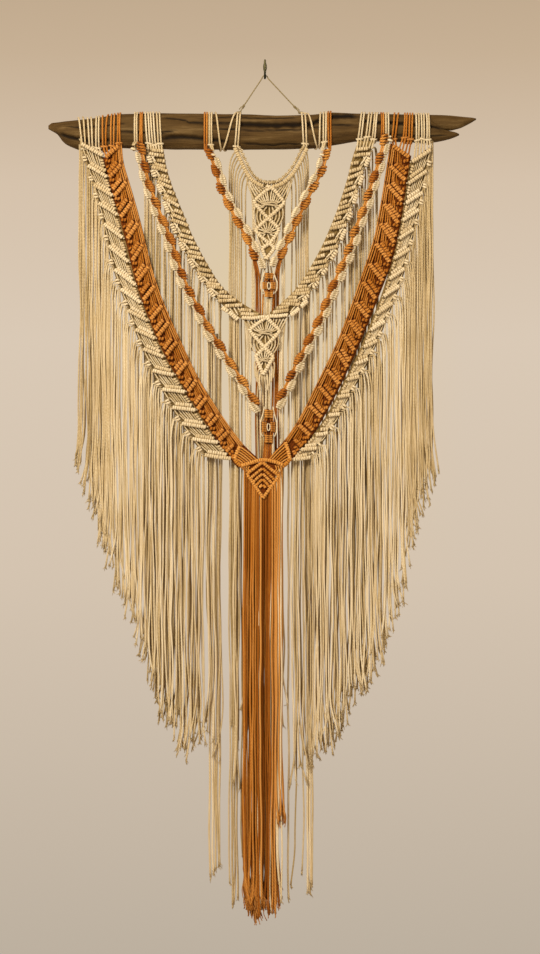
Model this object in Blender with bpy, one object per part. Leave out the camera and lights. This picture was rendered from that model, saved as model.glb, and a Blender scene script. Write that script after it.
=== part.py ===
"""Macrame wall hanging on a driftwood branch, with its hanging cord and wall hook.

Frame: the wall is the plane y = 0 and the hanging is in front of it, at negative y. The origin is the centre of
the hook's oval plate on the wall, +Z is up and +X is to the right for someone who faces the hanging.
Tables are in millimetres: x to the right of the hook, drop below it, and out from the wall.
"""

import math
from collections import namedtuple

import bmesh
import bpy
from mathutils import Vector

MM = 0.001

# Driving sizes, in millimetres
STRAND_RADIUS = 2.3  # corner radius of a three-sided strand, which stands for a 4.2 mm cord
WRAP_LIFT = STRAND_RADIUS / 2 + 0.5  # from the branch to the middle of a cord that wraps it, half a mm clear
BAR_LIFT = 1.0  # how much further out the bar of a lark's head lies
BRANCH_OUT = 32.0  # the branch's centre line, from the wall
BRANCH_SIDES = 8
BAND_OUT = 49.0  # middle plane of the knotted bands
BAND_THICKNESS = 8.0
TOP_LEAN = 8.0  # the knots start in front of the branch and fall back to their plane
LEAN_FROM, LEAN_TO = 140.0, 200.0
RIDGE_DEPTH = 1.6
BAR_RADIUS = 2.5
BAR_REACH = 2.0  # a lark's head's bar, past its two cords
BAR_STEP = 3  # the side of the branch that it crosses, counted from the top down the front
BAR_TURN = 0.3  # radians
SINNET_OUT = 53.0
OUTER_TAILS_OUT = 40.6  # then the straight strands behind the bands, layer behind layer
CURTAIN_OUT = 36.1
INNER_TAILS_OUT = 31.6
NECKLACE_STRANDS_OUT = 27.1
FRINGE_OUT = 48.0
TASSEL_LAYERS_OUT = (45.5, 50.0, 54.5)
TASSEL_STRANDS_A_LAYER = 9

BranchRow = namedtuple("BranchRow", "x top bottom half_depth groove_depth")
BRANCH = [
    BranchRow(-361, 119, 126, 4, 0),
    BranchRow(-355, 110, 131, 9, 0),
    BranchRow(-341, 101, 139, 15, 0),
    BranchRow(-327, 98, 148, 19, 0),
    BranchRow(-313, 96, 153, 21, 0),
    BranchRow(-285, 93, 150, 23, 0),
    BranchRow(-254, 87, 145, 24, 0),
    BranchRow(-184, 86, 148, 24, 0),
    BranchRow(-108, 85, 148, 24, 1),
    BranchRow(-44, 86, 148, 24, 7),
    BranchRow(19, 89, 148, 24, 8),
    BranchRow(80, 87, 146, 24, 5),
    BranchRow(117, 82, 141, 23, 0),
    BranchRow(159, 81, 134, 22, 0),
    BranchRow(222, 83, 134, 20, 0),
    BranchRow(287, 87, 136, 18, 0),
    BranchRow(306, 98, 134, 15, 0),
    BranchRow(318, 111, 131, 11, 0),
    BranchRow(334, 116, 127, 7, 0),
    BranchRow(342, 119, 123, 3, 0),
]
GROOVE_DROP = 106.0
GROOVE_HALF_WIDTH = 3.5
LEFT_LOBE = [
    BranchRow(-379, 106, 111, 3, 0),
    BranchRow(-373, 102, 115, 8, 0),
    BranchRow(-360, 101, 121, 12, 0),
    BranchRow(-345, 103, 124, 13, 0),
    BranchRow(-325, 104, 124, 13, 0),
]
RIGHT_PRONG = [
    BranchRow(275, 92, 110, 12, 0),
    BranchRow(306, 88, 113, 12, 0),
    BranchRow(324, 89, 115, 11, 0),
    BranchRow(338, 90, 112, 9, 0),
    BranchRow(355, 93, 103, 6, 0),
    BranchRow(369, 95, 97, 2, 0),
]

# A lark's head is a pair of cords over the branch: x of each cord at the top and at the bar in front, and how far
# beyond its usual clearance it stands off where the branch tapers
Pair = namedtuple("Pair", "top_a top_b bar_a bar_b slack", defaults=(0.0,))
OUTER_PAIRS_LEFT = [
    Pair(-327, -319, -318, -313, 2.0), Pair(-311, -305, -306, -301), Pair(-295, -290, -295, -290),
]
OUTER_PAIRS_RIGHT = [Pair(264, 268.5, 264.5, 268.5), Pair(273, 277.5, 274, 278), Pair(282, 286, 283, 287)]
RUST_PAIRS_LEFT = [
    Pair(-284, -274, -283, -278), Pair(-268, -263, -269, -264), Pair(-257.5, -253, -257.5, -253),
]
RUST_PAIRS_RIGHT = [Pair(227, 234, 222, 227), Pair(245, 249.5, 241.5, 246), Pair(254, 258.5, 251.5, 256)]
CHEVRON_PAIRS_LEFT = [
    Pair(-209.5, -205, -205, -200.5), Pair(-200.5, -196, -195.5, -191), Pair(-190.5, -185, -186, -181),
]
CHEVRON_PAIRS_RIGHT = [Pair(170, 175, 163, 168), Pair(183, 188, 176, 181), Pair(193.5, 197.5, 187.5, 192)]
OUTER_SINNET_PAIRS_LEFT = [Pair(-227, -223, -227, -223), Pair(-218.5, -214.5, -218.5, -214.5)]
OUTER_SINNET_PAIRS_RIGHT = [Pair(203, 207, 203, 207), Pair(211.5, 215.5, 211.5, 215.5)]
INNER_SINNET_PAIRS_LEFT = [Pair(-105.5, -101.5, -105.5, -101.5), Pair(-97, -93, -97, -93)]
INNER_SINNET_PAIRS_RIGHT = [Pair(103, 107, 102, 106), Pair(111, 115, 111, 115)]
NECKLACE_PAIRS = [Pair(-47, -42.5, -52, -47), Pair(64, 69.5, 67.5, 72.5)]
# Where the hanging cord's ends cross the front of the branch, as a narrow V on each side of the necklace
TIES = [Pair(-87, -52.5, -76.5, -72.5), Pair(75.5, 97, 91, 95.5)]

# A band is a row of stations from the branch to its point: the ends of one hitched bar
Station = namedtuple("Station", "inner_x inner_drop outer_x outer_drop")
OUTER_BAND_LEFT = [
    Station(-286, 142, -325, 139),
    Station(-277, 194, -312, 175),
    Station(-264, 240, -298, 220),
    Station(-248, 308, -282, 282),
    Station(-230, 378, -268, 348),
    Station(-208, 440, -243, 420),
    Station(-178, 510, -215, 497),
    Station(-141, 572, -182, 567),
    Station(-103, 634, -147, 628),
    Station(-60, 689, -108, 682),
]
OUTER_BAND_RIGHT = [
    Station(262, 142, 293, 139),
    Station(252, 199, 286, 177),
    Station(243, 262, 273, 242),
    Station(231, 322, 257, 306),
    Station(212, 392, 240, 372),
    Station(188, 455, 215, 438),
    Station(165, 510, 189, 500),
    Station(137, 565, 158, 560),
    Station(102, 625, 122, 634),
    Station(50, 688, 82, 684),
]
RUST_BAND_LEFT = [
    Station(-252, 141, -282, 143),
    Station(-249, 173, -272, 198),
    Station(-234, 224, -258, 250),
    Station(-219, 278, -241, 306),
    Station(-201, 352, -224, 378),
    Station(-178, 420, -201, 441),
    Station(-149, 485, -172, 508),
    Station(-117, 551, -136, 570),
    Station(-79, 612, -99, 630),
    Station(-42, 663, -66, 677),
    Station(-14, 690, -46, 703),
]
RUST_BAND_RIGHT = [
    Station(221, 139, 257, 143),
    Station(215, 177, 247, 198),
    Station(205, 240, 237, 266),
    Station(192, 306, 222, 334),
    Station(172, 366, 203, 390),
    Station(149, 432, 178, 453),
    Station(126, 490, 152, 514),
    Station(94, 556, 124, 574),
    Station(60, 623, 88, 635),
    Station(28, 668, 55, 677),
    Station(3, 692, 30, 702),
]
CHEVRON_BAND_LEFT = [
    Station(-179, 143, -207, 141),
    Station(-172, 184, -199, 177),
    Station(-161, 219, -188, 208),
    Station(-145, 258, -175, 243),
    Station(-126, 303, -157, 295),
    Station(-103, 347, -133, 343),
    Station(-74, 392, -103, 394),
    Station(-38, 420, -72, 429),
    Station(2, 442, -38, 454),
]
CHEVRON_BAND_RIGHT = [
    Station(163, 135, 194, 136),
    Station(153, 165, 183, 161),
    Station(144, 202, 172, 191),
    Station(133, 237, 161, 226),
    Station(119, 275, 148, 267),
    Station(96, 326, 128, 322),
    Station(63, 382, 96, 381),
    Station(33, 415, 66, 420),
    Station(-2, 442, 38, 449),
]
Blocks = namedtuple("Blocks", "count share cords")  # ridged blocks on a band, the share they cover, open cords
OUTER_BLOCKS = Blocks(6, 0.66, 3)
RUST_BLOCKS = Blocks(6, 0.66, 3)
CHEVRON_BLOCKS = Blocks(5, 0.66, 3)
RIDGES_A_BLOCK = 3
BURY = 0.012  # how far into a block an open cord or a strand's root reaches, as a share of the band

# Paths of the two-colour sinnets, top to point, as (x, drop)
INNER_SINNET_LEFT = [
    (-99, 139), (-94, 158), (-84, 187), (-75, 219), (-61, 247), (-46, 275), (-30, 304), (-17, 336), (-7, 362),
]
INNER_SINNET_RIGHT = [
    (108, 133), (105, 158), (98, 186), (83, 215), (69, 243), (54, 273), (41, 304), (28, 331), (17, 362),
]
OUTER_SINNET_LEFT = [
    (-219, 140), (-215, 160), (-211, 180), (-204, 210), (-193, 240), (-181, 271), (-167, 304), (-156, 338),
    (-144, 373), (-130, 404), (-113, 434), (-97, 466), (-78, 495), (-59, 527), (-40, 555), (-23, 583), (-8, 604),
]
OUTER_SINNET_RIGHT = [
    (210, 131), (203, 160), (195, 189), (186, 215), (175, 250), (161, 285), (150, 318), (136, 352),
    (122, 383), (109, 415), (97, 444), (81, 476), (64, 509), (46, 546), (30, 579), (14, 604),
]
SINNET_LUMPS_INNER = 8
SINNET_LUMPS_OUTER = 15
LUMP_RADIUS = 6.8
SMALL_LUMP_RADIUS = 5.4
NECK_RADIUS = 3.6
LUMP_SHIFT = 2.0  # the two colours' lumps lie to the two sides of the line
Flower = namedtuple("Flower", "x drop width height tails_to")
INNER_FLOWER = Flower(8, 390, 29, 56, 1440)
OUTER_FLOWER = Flower(6, 633, 29, 62, 1500)

NECKLACE_U = [
    (-49, 146), (-41, 163), (-31, 184), (-21, 199), (-7, 208), (8, 211), (23, 208), (37, 199), (50, 184),
    (62, 163), (70, 146),
]
Diamond = namedtuple("Diamond", "x top left right side_drop bottom")
NECKLACE_DIAMONDS = [
    Diamond(8.5, 214, -18, 34, 244, 270),
    Diamond(6.5, 271, -15, 26, 292, 314),
    Diamond(4.5, 315, -9, 17, 328, 342),
]
CHEVRON_DIAMONDS = [Diamond(1.5, 446, -26, 25, 467, 491), Diamond(-2, 492, -17, 14, 515, 542)]
DIAMOND_BAR_RADIUS = 3.4

# Fringe hems, as (x, drop) across the hanging
LEFT_HEM = [
    (-320, 705), (-304, 752), (-292, 768), (-284, 820), (-264, 884), (-245, 936), (-215, 1003), (-185, 1124),
    (-170, 1150), (-135, 1200), (-98, 1172), (-68, 1234), (-35, 1267),
]
RIGHT_HEM = [
    (32, 1290), (52, 1262), (62, 1255), (90, 1216), (105, 1178), (122, 1174), (140, 1131), (152, 1098),
    (181, 1073), (201, 1032), (224, 962), (238, 921), (252, 828), (272, 761), (289, 728), (299, 686),
]
FRINGE_PITCH = 10.0
CURTAIN_PITCH = 16.0
HEM_WAVE = 9.0  # how uneven the cut ends are
FRINGE_BEND = 16.0  # the drop over which a strand moves from its knot to its layer
FRINGE_RADIUS = 2.1
TAIL_RADIUS = 1.95

# The leaf at the rust band's point
LEAF_TOP = 686.0
LEAF_SHOULDER = 718.0
LEAF_TIP = 760.0
LEAF_X = -4.0
LEAF_HALF_WIDTH = 29.0
LEAF_ROWS = 9
LEAF_CHEVRON_DROP = 8.0
TASSEL_END = 1490.0
TASSEL_HALF_WIDTH = 33.0

CENTRE_STRANDS = 4
CENTRE_HALF_WIDTH = 9.0
FLOWER_TAILS = 5
TAILS_HALF_WIDTH = 12.0
NECKLACE_STRANDS = 5
NECKLACE_ENDS = 1460.0

# The hook and the hanging cord
PLATE_HALF_WIDTH = 3.4
PLATE_HALF_HEIGHT = 9.0
PLATE_THICKNESS = 2.0
HOOK_WIRE = 2.2
HookPoint = namedtuple("HookPoint", "out drop")
HOOK_BEND = [
    HookPoint(1, 0), HookPoint(9, 0), HookPoint(13, 2.5), HookPoint(15, 8), HookPoint(16.5, 15),
    HookPoint(20, 20.5), HookPoint(24.5, 22), HookPoint(29, 20), HookPoint(32, 14), HookPoint(33, 5),
    HookPoint(33.5, -9),
]
HANGER_OUT = 24.5
HANGER_RADIUS = 1.3
HANGER_KNOT_RADIUS = 2.6
# The hanging cord as (x, drop), from its left end on the branch over the hook to its right end
HANGER = [
    (-49.5, 78), (-38, 70), (-4.9, 21.5), (-3.4, 18.8), (0, 17.3), (3.4, 18.8), (4.9, 21.5), (52, 70), (71, 78),
]


def place(x, drop, out):
    """A point in metres from millimetres: x to the right, drop below the hook, out from the wall."""
    return Vector((x, -out, -drop)) * MM


def lean(drop):
    """How far in front of its plane a knot at this drop hangs."""
    return TOP_LEAN * min(1.0, max(0.0, (LEAN_TO - drop) / (LEAN_TO - LEAN_FROM)))


def between(rows, share):
    """The row at this share of the way along a table, each column worked out between its neighbours."""
    spot = share * (len(rows) - 1)
    first = min(int(spot), len(rows) - 2)
    part = spot - first
    return [a + (b - a) * part for a, b in zip(rows[first], rows[first + 1])]


def across(rows, x):
    """The values of a table's other columns at this x, for a table whose x goes one way."""
    rows = sorted(rows)
    for low, high in zip(rows, rows[1:]):
        if x <= high[0] or high is rows[-1]:
            part = (x - low[0]) / (high[0] - low[0])
            return [a + (b - a) * part for a, b in zip(low[1:], high[1:])]


def material(name, colour, roughness, metallic=0.0):
    made = bpy.data.materials.new(name)
    made.use_nodes = True
    shader = made.node_tree.nodes["Principled BSDF"]
    shader.inputs["Base Color"].default_value = (*colour, 1.0)
    shader.inputs["Roughness"].default_value = roughness
    shader.inputs["Metallic"].default_value = metallic
    return made


def loft(mesh, rings, ring_closed=False):
    """A closed body through rings of as many points each; with ring_closed the last ring joins the first."""
    made = [[mesh.verts.new(point) for point in ring] for ring in rings]
    following = made[1:] + made[:1] if ring_closed else made[1:]
    for ring, after in zip(made, following):
        for i in range(len(ring)):
            j = (i + 1) % len(ring)
            mesh.faces.new((ring[i], ring[j], after[j], after[i]))
    if not ring_closed:
        mesh.faces.new(made[0][::-1])
        mesh.faces.new(made[-1])


def tube(mesh, path, radii, sides=3, turn=0.0, twist=0.0, side=Vector((0, -1, 0)), closed=False):
    """A rod along a path of points in metres. One corner of its section points to side, turned by turn."""
    if not isinstance(radii, (list, tuple)):
        radii = [radii] * len(path)
    rings = []
    last = len(path) - 1
    for i, point in enumerate(path):
        if closed:
            before, after = path[i - 1], path[(i + 1) % len(path)]
        else:
            before, after = path[max(i - 1, 0)], path[min(i + 1, last)]
        along = (after - before).normalized()
        if isinstance(side, Vector):
            up = (side - along * side.dot(along)).normalized()
        else:
            up = (side[i] - along * side[i].dot(along)).normalized()
        flat = along.cross(up)
        ring = []
        for k in range(sides):
            angle = turn + twist * i + 2 * math.pi * k / sides
            ring.append(point + (up * math.cos(angle) + flat * math.sin(angle)) * radii[i] * MM)
        rings.append(ring)
    loft(mesh, rings, closed)


def fused(name, mesh, core, finish):
    """One object of all the bodies in mesh, joined to the body in core by a Boolean union."""
    objects = []
    for label, made in ((name, mesh), (name + "_core", core)):
        bmesh.ops.recalc_face_normals(made, faces=made.faces)
        data = bpy.data.meshes.new(label)
        made.to_mesh(data)
        made.free()
        obj = bpy.data.objects.new(label, data)
        bpy.context.scene.collection.objects.link(obj)
        objects.append(obj)
    body, helper = objects
    helper.hide_render = True
    helper.display_type = "WIRE"
    body.data.materials.append(finish)
    union = body.modifiers.new("join", "BOOLEAN")
    union.operation = "UNION"
    union.object = helper
    union.use_self = True
    return body


# The branch and what wraps it


def branch_ring(row, with_groove):
    """The branch's section at one row: points from its top, down the front and up the back."""
    middle = (row.top + row.bottom) / 2
    half_height = (row.bottom - row.top) / 2
    ring = []
    for k in range(BRANCH_SIDES):
        angle = 2 * math.pi * k / BRANCH_SIDES
        drop = middle - half_height * math.cos(angle)
        out = BRANCH_OUT + row.half_depth * math.sin(angle)
        ring.append((drop, out))
    if with_groove:
        (high_drop, high_out), (knee_drop, knee_out), (low_drop, low_out) = ring[1:4]
        span = low_drop - high_drop
        centre = min(max(GROOVE_DROP, high_drop + 0.25 * span), low_drop - 0.25 * span)
        half_width = min(GROOVE_HALF_WIDTH, 0.15 * span)

        def surface(drop):
            if drop < knee_drop:
                return high_out + (knee_out - high_out) * (drop - high_drop) / (knee_drop - high_drop)
            return knee_out + (low_out - knee_out) * (drop - knee_drop) / (low_drop - knee_drop)

        drops = (centre - half_width, centre, centre + half_width)
        depths = (0, row.groove_depth, 0)
        ring[2:3] = [(drop, surface(drop) - depth) for drop, depth in zip(drops, depths)]
    return [place(row.x, drop, out) for drop, out in ring]


def make_branch(finish):
    mesh, core = bmesh.new(), bmesh.new()
    loft(core, [branch_ring(row, True) for row in BRANCH])
    loft(mesh, [branch_ring(row, False) for row in LEFT_LOBE])
    loft(mesh, [branch_ring(row, False) for row in RIGHT_PRONG])
    return fused("driftwood_branch", mesh, core, finish)


def wrap_point(x, step, lift):
    """A point round the branch at x, step sides from its top down the front, lift off its surface."""
    top, bottom, half_depth, _ = across(BRANCH, x)
    angle = 2 * math.pi * step / BRANCH_SIDES
    middle = (top + bottom) / 2
    half_height = (bottom - top) / 2 + lift
    return place(x, middle - half_height * math.cos(angle), BRANCH_OUT + (half_depth + lift) * math.sin(angle))


def wrapped_cords(mesh, pair):
    """Two cords right round the branch, from low on its front up over its top and down behind it."""
    lift = WRAP_LIFT + pair.slack
    for top_x, bar_x in ((pair.top_a, pair.bar_a), (pair.top_b, pair.bar_b)):
        path, sides = [], []
        for step in range(BAR_STEP, BAR_STEP - BRANCH_SIDES, -1):
            share = (BAR_STEP - step) / BAR_STEP if step >= 0 else 1 + step / (BRANCH_SIDES - BAR_STEP)
            x = bar_x + (top_x - bar_x) * share
            path.append(wrap_point(x, step, lift))
            angle = 2 * math.pi * step / BRANCH_SIDES
            sides.append(Vector((0, -math.sin(angle), math.cos(angle))))
        tube(mesh, path, STRAND_RADIUS, side=sides, closed=True)


def lark_head(mesh, pair, hangs_to):
    """A lark's head: its two cords, the bar that joins them in front, and its ends down to the first knot."""
    wrapped_cords(mesh, pair)
    lift = WRAP_LIFT + pair.slack + BAR_LIFT
    ends = [wrap_point(x, BAR_STEP, lift) for x in (pair.bar_a - BAR_REACH, pair.bar_b + BAR_REACH)]
    tube(mesh, ends, BAR_RADIUS, sides=4, turn=BAR_TURN)
    middle = wrap_point((pair.bar_a + pair.bar_b) / 2, BAR_STEP, lift)
    tube(mesh, [middle, hangs_to], BAR_RADIUS, sides=4)


# The knotted bands


def band_point(stations, along, sideways, out=BAND_OUT):
    row = Station(*between(stations, along))
    x = row.inner_x + (row.outer_x - row.inner_x) * sideways
    drop = row.inner_drop + (row.outer_drop - row.inner_drop) * sideways
    return place(x, drop, out + lean(drop))


def block_spans(stations, blocks):
    """(start, end) of each ridged block along the band, the first at its top and the last at its end."""
    length = blocks.share / blocks.count
    pitch = (1 - length) / (blocks.count - 1)
    return [(k * pitch, k * pitch + length) for k in range(blocks.count)]


def ridged_block(mesh, stations, start, end):
    """A group of hitched bars: a slab whose front and back are ridged along the bars."""
    half = BAND_THICKNESS / 2
    steps = 2 * RIDGES_A_BLOCK
    rings = []
    for sideways in (0.0, 1.0):
        front, back = [], []
        for k in range(steps + 1):
            along = start + (end - start) * k / steps
            depth = half if k % 2 else half - RIDGE_DEPTH
            front.append(band_point(stations, along, sideways, BAND_OUT + depth))
            back.append(band_point(stations, along, sideways, BAND_OUT - depth))
        rings.append(front + back[::-1])
    loft(mesh, rings)


def open_cords(mesh, stations, spans, count):
    """The cords that run on between one block and the next."""
    for (_, start), (end, _) in zip(spans, spans[1:]):
        for k in range(count):
            sideways = (k + 0.5) / count
            path = [band_point(stations, start - BURY, sideways), band_point(stations, end + BURY, sideways)]
            tube(mesh, path, STRAND_RADIUS, turn=0.4 * k)


def band(mesh, stations, blocks, pairs):
    top = stations[0]
    for pair in pairs:
        middle = (pair.bar_a + pair.bar_b) / 2
        sideways = min(0.93, max(0.07, (middle - top.inner_x) / (top.outer_x - top.inner_x)))
        lark_head(mesh, pair, band_point(stations, 0.015, sideways))
    spans = block_spans(stations, blocks)
    for start, end in spans:
        ridged_block(mesh, stations, start, end)
    open_cords(mesh, stations, spans, blocks.cords)
    return spans


def uneven(number):
    """A fixed value from -1 to 1 that differs from one number to the next."""
    return math.sin(number * 12.9898 + 4.1) * math.cos(number * 4.37 + 1.3)


def edge_share(stations, x):
    """How far along the band its outer edge passes x."""
    steps = 200
    nearest = min(range(steps + 1), key=lambda k: abs(Station(*between(stations, k / steps)).outer_x - x))
    return nearest / steps


def hanging_strand(mesh, root, x, out, hem, number):
    """A strand from its root in the knots, out and down to its cut end."""
    root_drop = -root.z / MM
    path = [root, place(x, root_drop + FRINGE_BEND, out), place(x, hem, out)]
    tube(mesh, path, FRINGE_RADIUS, turn=0.5 * uneven(number + 0.5))


def edge_fringe(mesh, stations, spans, open_count, hem_rows, pitch, out, outward):
    """Strands from the band's outer edge, one at each pitch across, down to the hem."""
    first = stations[0].outer_x
    last = stations[-1].outer_x
    count = int(abs(last - first) / pitch)
    for k in range(count):
        x = first + (last - first) * (k + 0.4) / count
        along = edge_share(stations, x)
        knotted = any(start + BURY < along < end - BURY for start, end in spans)
        edge_cord = (open_count - 0.5) / open_count
        root = band_point(stations, along, 0.94 if knotted else edge_cord, BAND_OUT - (1.5 if knotted else 0.3))
        hem = across(hem_rows, x)[0] + HEM_WAVE * uneven(k)
        hanging_strand(mesh, root, x + outward * 2.0, out, hem, k)


def make_outer_band(name, stations, pairs, hem_rows, outward, finish):
    mesh, core = bmesh.new(), bmesh.new()
    spans = band(mesh, stations, OUTER_BLOCKS, pairs)
    edge_fringe(mesh, stations, spans, OUTER_BLOCKS.cords, hem_rows, FRINGE_PITCH, FRINGE_OUT, outward)
    tube(core, [band_point(stations, 0.03, 0.1), band_point(stations, 0.03, 0.9)], 3.0, sides=4)
    return fused(name, mesh, core, finish)


def make_rust_band(finish):
    mesh, core = bmesh.new(), bmesh.new()
    for stations, pairs in ((RUST_BAND_LEFT, RUST_PAIRS_LEFT), (RUST_BAND_RIGHT, RUST_PAIRS_RIGHT)):
        band(mesh, stations, RUST_BLOCKS, pairs)
    leaf(core)
    tassel(mesh)
    return fused("rust_band", mesh, core, finish)


def leaf(mesh):
    """The leaf at the point: ridged chevrons that narrow to its tip."""
    fronts, backs = [], []
    for k in range(LEAF_ROWS):
        share = k / (LEAF_ROWS - 1)
        drop = LEAF_TOP + (LEAF_TIP - LEAF_TOP) * share
        shoulder = (LEAF_SHOULDER - LEAF_TOP) / (LEAF_TIP - LEAF_TOP)
        half = LEAF_HALF_WIDTH * (1 if share < shoulder else (1 - share) / (1 - shoulder) * 0.95 + 0.05)
        depth = BAND_THICKNESS / 2 + (0.8 if k % 2 else -0.8)
        side_drop = drop + LEAF_CHEVRON_DROP * (1 - share)
        row = ((LEAF_X - half, side_drop), (LEAF_X, drop), (LEAF_X + half, side_drop))
        fronts.append([place(x, at, BAND_OUT + 2.0 + depth) for x, at in row])
        backs.append([place(x, at, BAND_OUT + 2.0 - depth) for x, at in row])
    loft(mesh, [front + back[::-1] for front, back in zip(fronts, backs)])


def tassel(mesh):
    """Straight strands in layers from the leaf's two lower edges."""
    last = TASSEL_STRANDS_A_LAYER - 1
    for layer, out in enumerate(TASSEL_LAYERS_OUT):
        for k in range(TASSEL_STRANDS_A_LAYER):
            side = 2 * k / last - 1 + 0.02 * (layer - 1)
            number = k + 31 * layer
            root_drop = LEAF_TIP - (LEAF_TIP - LEAF_SHOULDER) * abs(side) - 6
            end = TASSEL_END - 30 * abs(uneven(number)) - (70 if side > 0.85 else 0)
            top = place(LEAF_X + side * (LEAF_HALF_WIDTH - 3.0), root_drop, min(max(out, BAND_OUT), BAND_OUT + 4.5))
            low_x = LEAF_X + 3.0 + side * TASSEL_HALF_WIDTH
            path = [top, place(low_x, root_drop + 60, out), place(low_x, end, out)]
            tube(mesh, path, TAIL_RADIUS, turn=0.3 * uneven(number))


def diamond(mesh, shape, out):
    """Four hitched bars round a square knot, and the knot's cords up and down."""
    side_left = (shape.left, shape.side_drop)
    side_right = (shape.right, shape.side_drop)
    top, bottom = (shape.x, shape.top), (shape.x, shape.bottom)
    corners = (side_left, top, side_right, bottom)
    for number, (start, end) in enumerate(zip(corners, corners[1:] + corners[:1])):
        level = out + 0.35 * number
        tube(mesh, [place(*start, level), place(*end, level)], DIAMOND_BAR_RADIUS, sides=5, turn=0.2 * number)
    middle = (shape.left + shape.right) / 2
    half_knot = (shape.right - shape.left) / 5
    knot = [place(middle - half_knot, shape.side_drop, out), place(middle + half_knot, shape.side_drop + 1, out)]
    tube(mesh, knot, 3.6, sides=5)
    for spread in (-0.7, 0.7):
        for end_drop in (shape.top + 8, shape.bottom - 8):
            inside = place(middle + spread * half_knot, shape.side_drop, out)
            outside = place(shape.x + spread * 1.6 * half_knot, end_drop, out)
            tube(mesh, [inside, outside], STRAND_RADIUS, turn=spread)


def make_chevron_band(finish):
    mesh, core = bmesh.new(), bmesh.new()
    sides = (
        (CHEVRON_BAND_LEFT, CHEVRON_PAIRS_LEFT, LEFT_HEM, -1),
        (CHEVRON_BAND_RIGHT, CHEVRON_PAIRS_RIGHT, RIGHT_HEM, 1),
    )
    for stations, pairs, hem_rows, outward in sides:
        spans = band(mesh, stations, CHEVRON_BLOCKS, pairs)
        edge_fringe(mesh, stations, spans, CHEVRON_BLOCKS.cords, hem_rows, CURTAIN_PITCH, CURTAIN_OUT, outward)
    for shape in CHEVRON_DIAMONDS:
        diamond(mesh, shape, BAND_OUT)
    centre_strands(mesh, CHEVRON_DIAMONDS[-1], CURTAIN_OUT, CENTRE_STRANDS, TASSEL_END - 20)
    tube(core, [place(-8, 440, BAND_OUT), place(8, 444, BAND_OUT)], 4.2, sides=5)
    return fused("chevron_band", mesh, core, finish)


def centre_strands(mesh, shape, out, count, end):
    """Strands that hang on from a column's last diamond."""
    for k in range(count):
        side = 2 * k / (count - 1) - 1
        root = place(shape.x + side * 3.0, shape.bottom - 2.0, BAND_OUT)
        x = shape.x + side * CENTRE_HALF_WIDTH
        path = [root, place(x, shape.bottom + 22, out), place(x, end - 12 * k, out)]
        tube(mesh, path, FRINGE_RADIUS, turn=0.4 * side)


def sinnet(mesh, route, lumps, inward):
    """A knotted cord: large lumps to one side and small ones to the other, with necks between."""
    path, radii = [], []
    steps = 4 * lumps
    for k in range(steps + 1):
        x, drop = between(route, k / steps)
        phase = k % 4
        shift = {1: -LUMP_SHIFT, 3: LUMP_SHIFT}.get(phase, 0.0)
        path.append(place(x + inward * shift, drop, SINNET_OUT + lean(drop)))
        radii.append({1: LUMP_RADIUS, 3: SMALL_LUMP_RADIUS}.get(phase, NECK_RADIUS if k else SMALL_LUMP_RADIUS))
    tube(mesh, path, radii, sides=4, twist=0.47 * inward)


def flower(mesh, core, shape):
    """Four square knots round a hole, and the cords that hang on from them."""
    reach = shape.height / 2
    arm = shape.width / 2
    knot_rows = (
        ((0, -reach + 2), (0, -reach + 18), 0.44),
        ((0.4, reach - 18), (0, reach - 2), 0.43),
        ((-arm + 5, 16.5 - reach), (-arm + 5.6, reach - 16), 0.31),
        ((arm - 5.3, 16 - reach), (arm - 5, reach - 16.5), 0.3),
    )
    for number, ((x1, drop1), (x2, drop2), width) in enumerate(knot_rows):
        ends = [place(shape.x + x, shape.drop + drop, SINNET_OUT) for x, drop in ((x1, drop1), (x2, drop2))]
        target = core if number == 0 else mesh
        tube(target, ends, shape.width * width * 0.55 + 1.5, sides=5, turn=0.1 + 0.37 * number)


def flower_tails(mesh, shape, out):
    for k in range(FLOWER_TAILS):
        side = 2 * k / (FLOWER_TAILS - 1) - 1
        root = place(shape.x + side * 7, shape.drop + shape.height / 2 - 8, SINNET_OUT)
        x = shape.x - 2 + side * TAILS_HALF_WIDTH
        path = [root, place(x, shape.drop + shape.height / 2 + 14, out), place(x, shape.tails_to - 9 * k, out)]
        tube(mesh, path, TAIL_RADIUS, turn=0.5 * side)


def make_sinnet(name, routes, lumps, pairs, shape, tails_out, finish):
    mesh, core = bmesh.new(), bmesh.new()
    for route, inward in zip(routes, (1, -1)):
        joint = (shape.x - inward * 3.5, shape.drop - shape.height / 2 + 10)
        sinnet(mesh, list(route) + [joint], lumps, inward)
    for pair in pairs:
        x, drop = min((way[0] for way in routes), key=lambda top: abs(top[0] - pair.bar_a))
        lark_head(mesh, pair, place(x, drop + 8, SINNET_OUT + lean(drop + 8)))
    flower(mesh, core, shape)
    flower_tails(mesh, shape, tails_out)
    return fused(name, mesh, core, finish)


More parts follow.
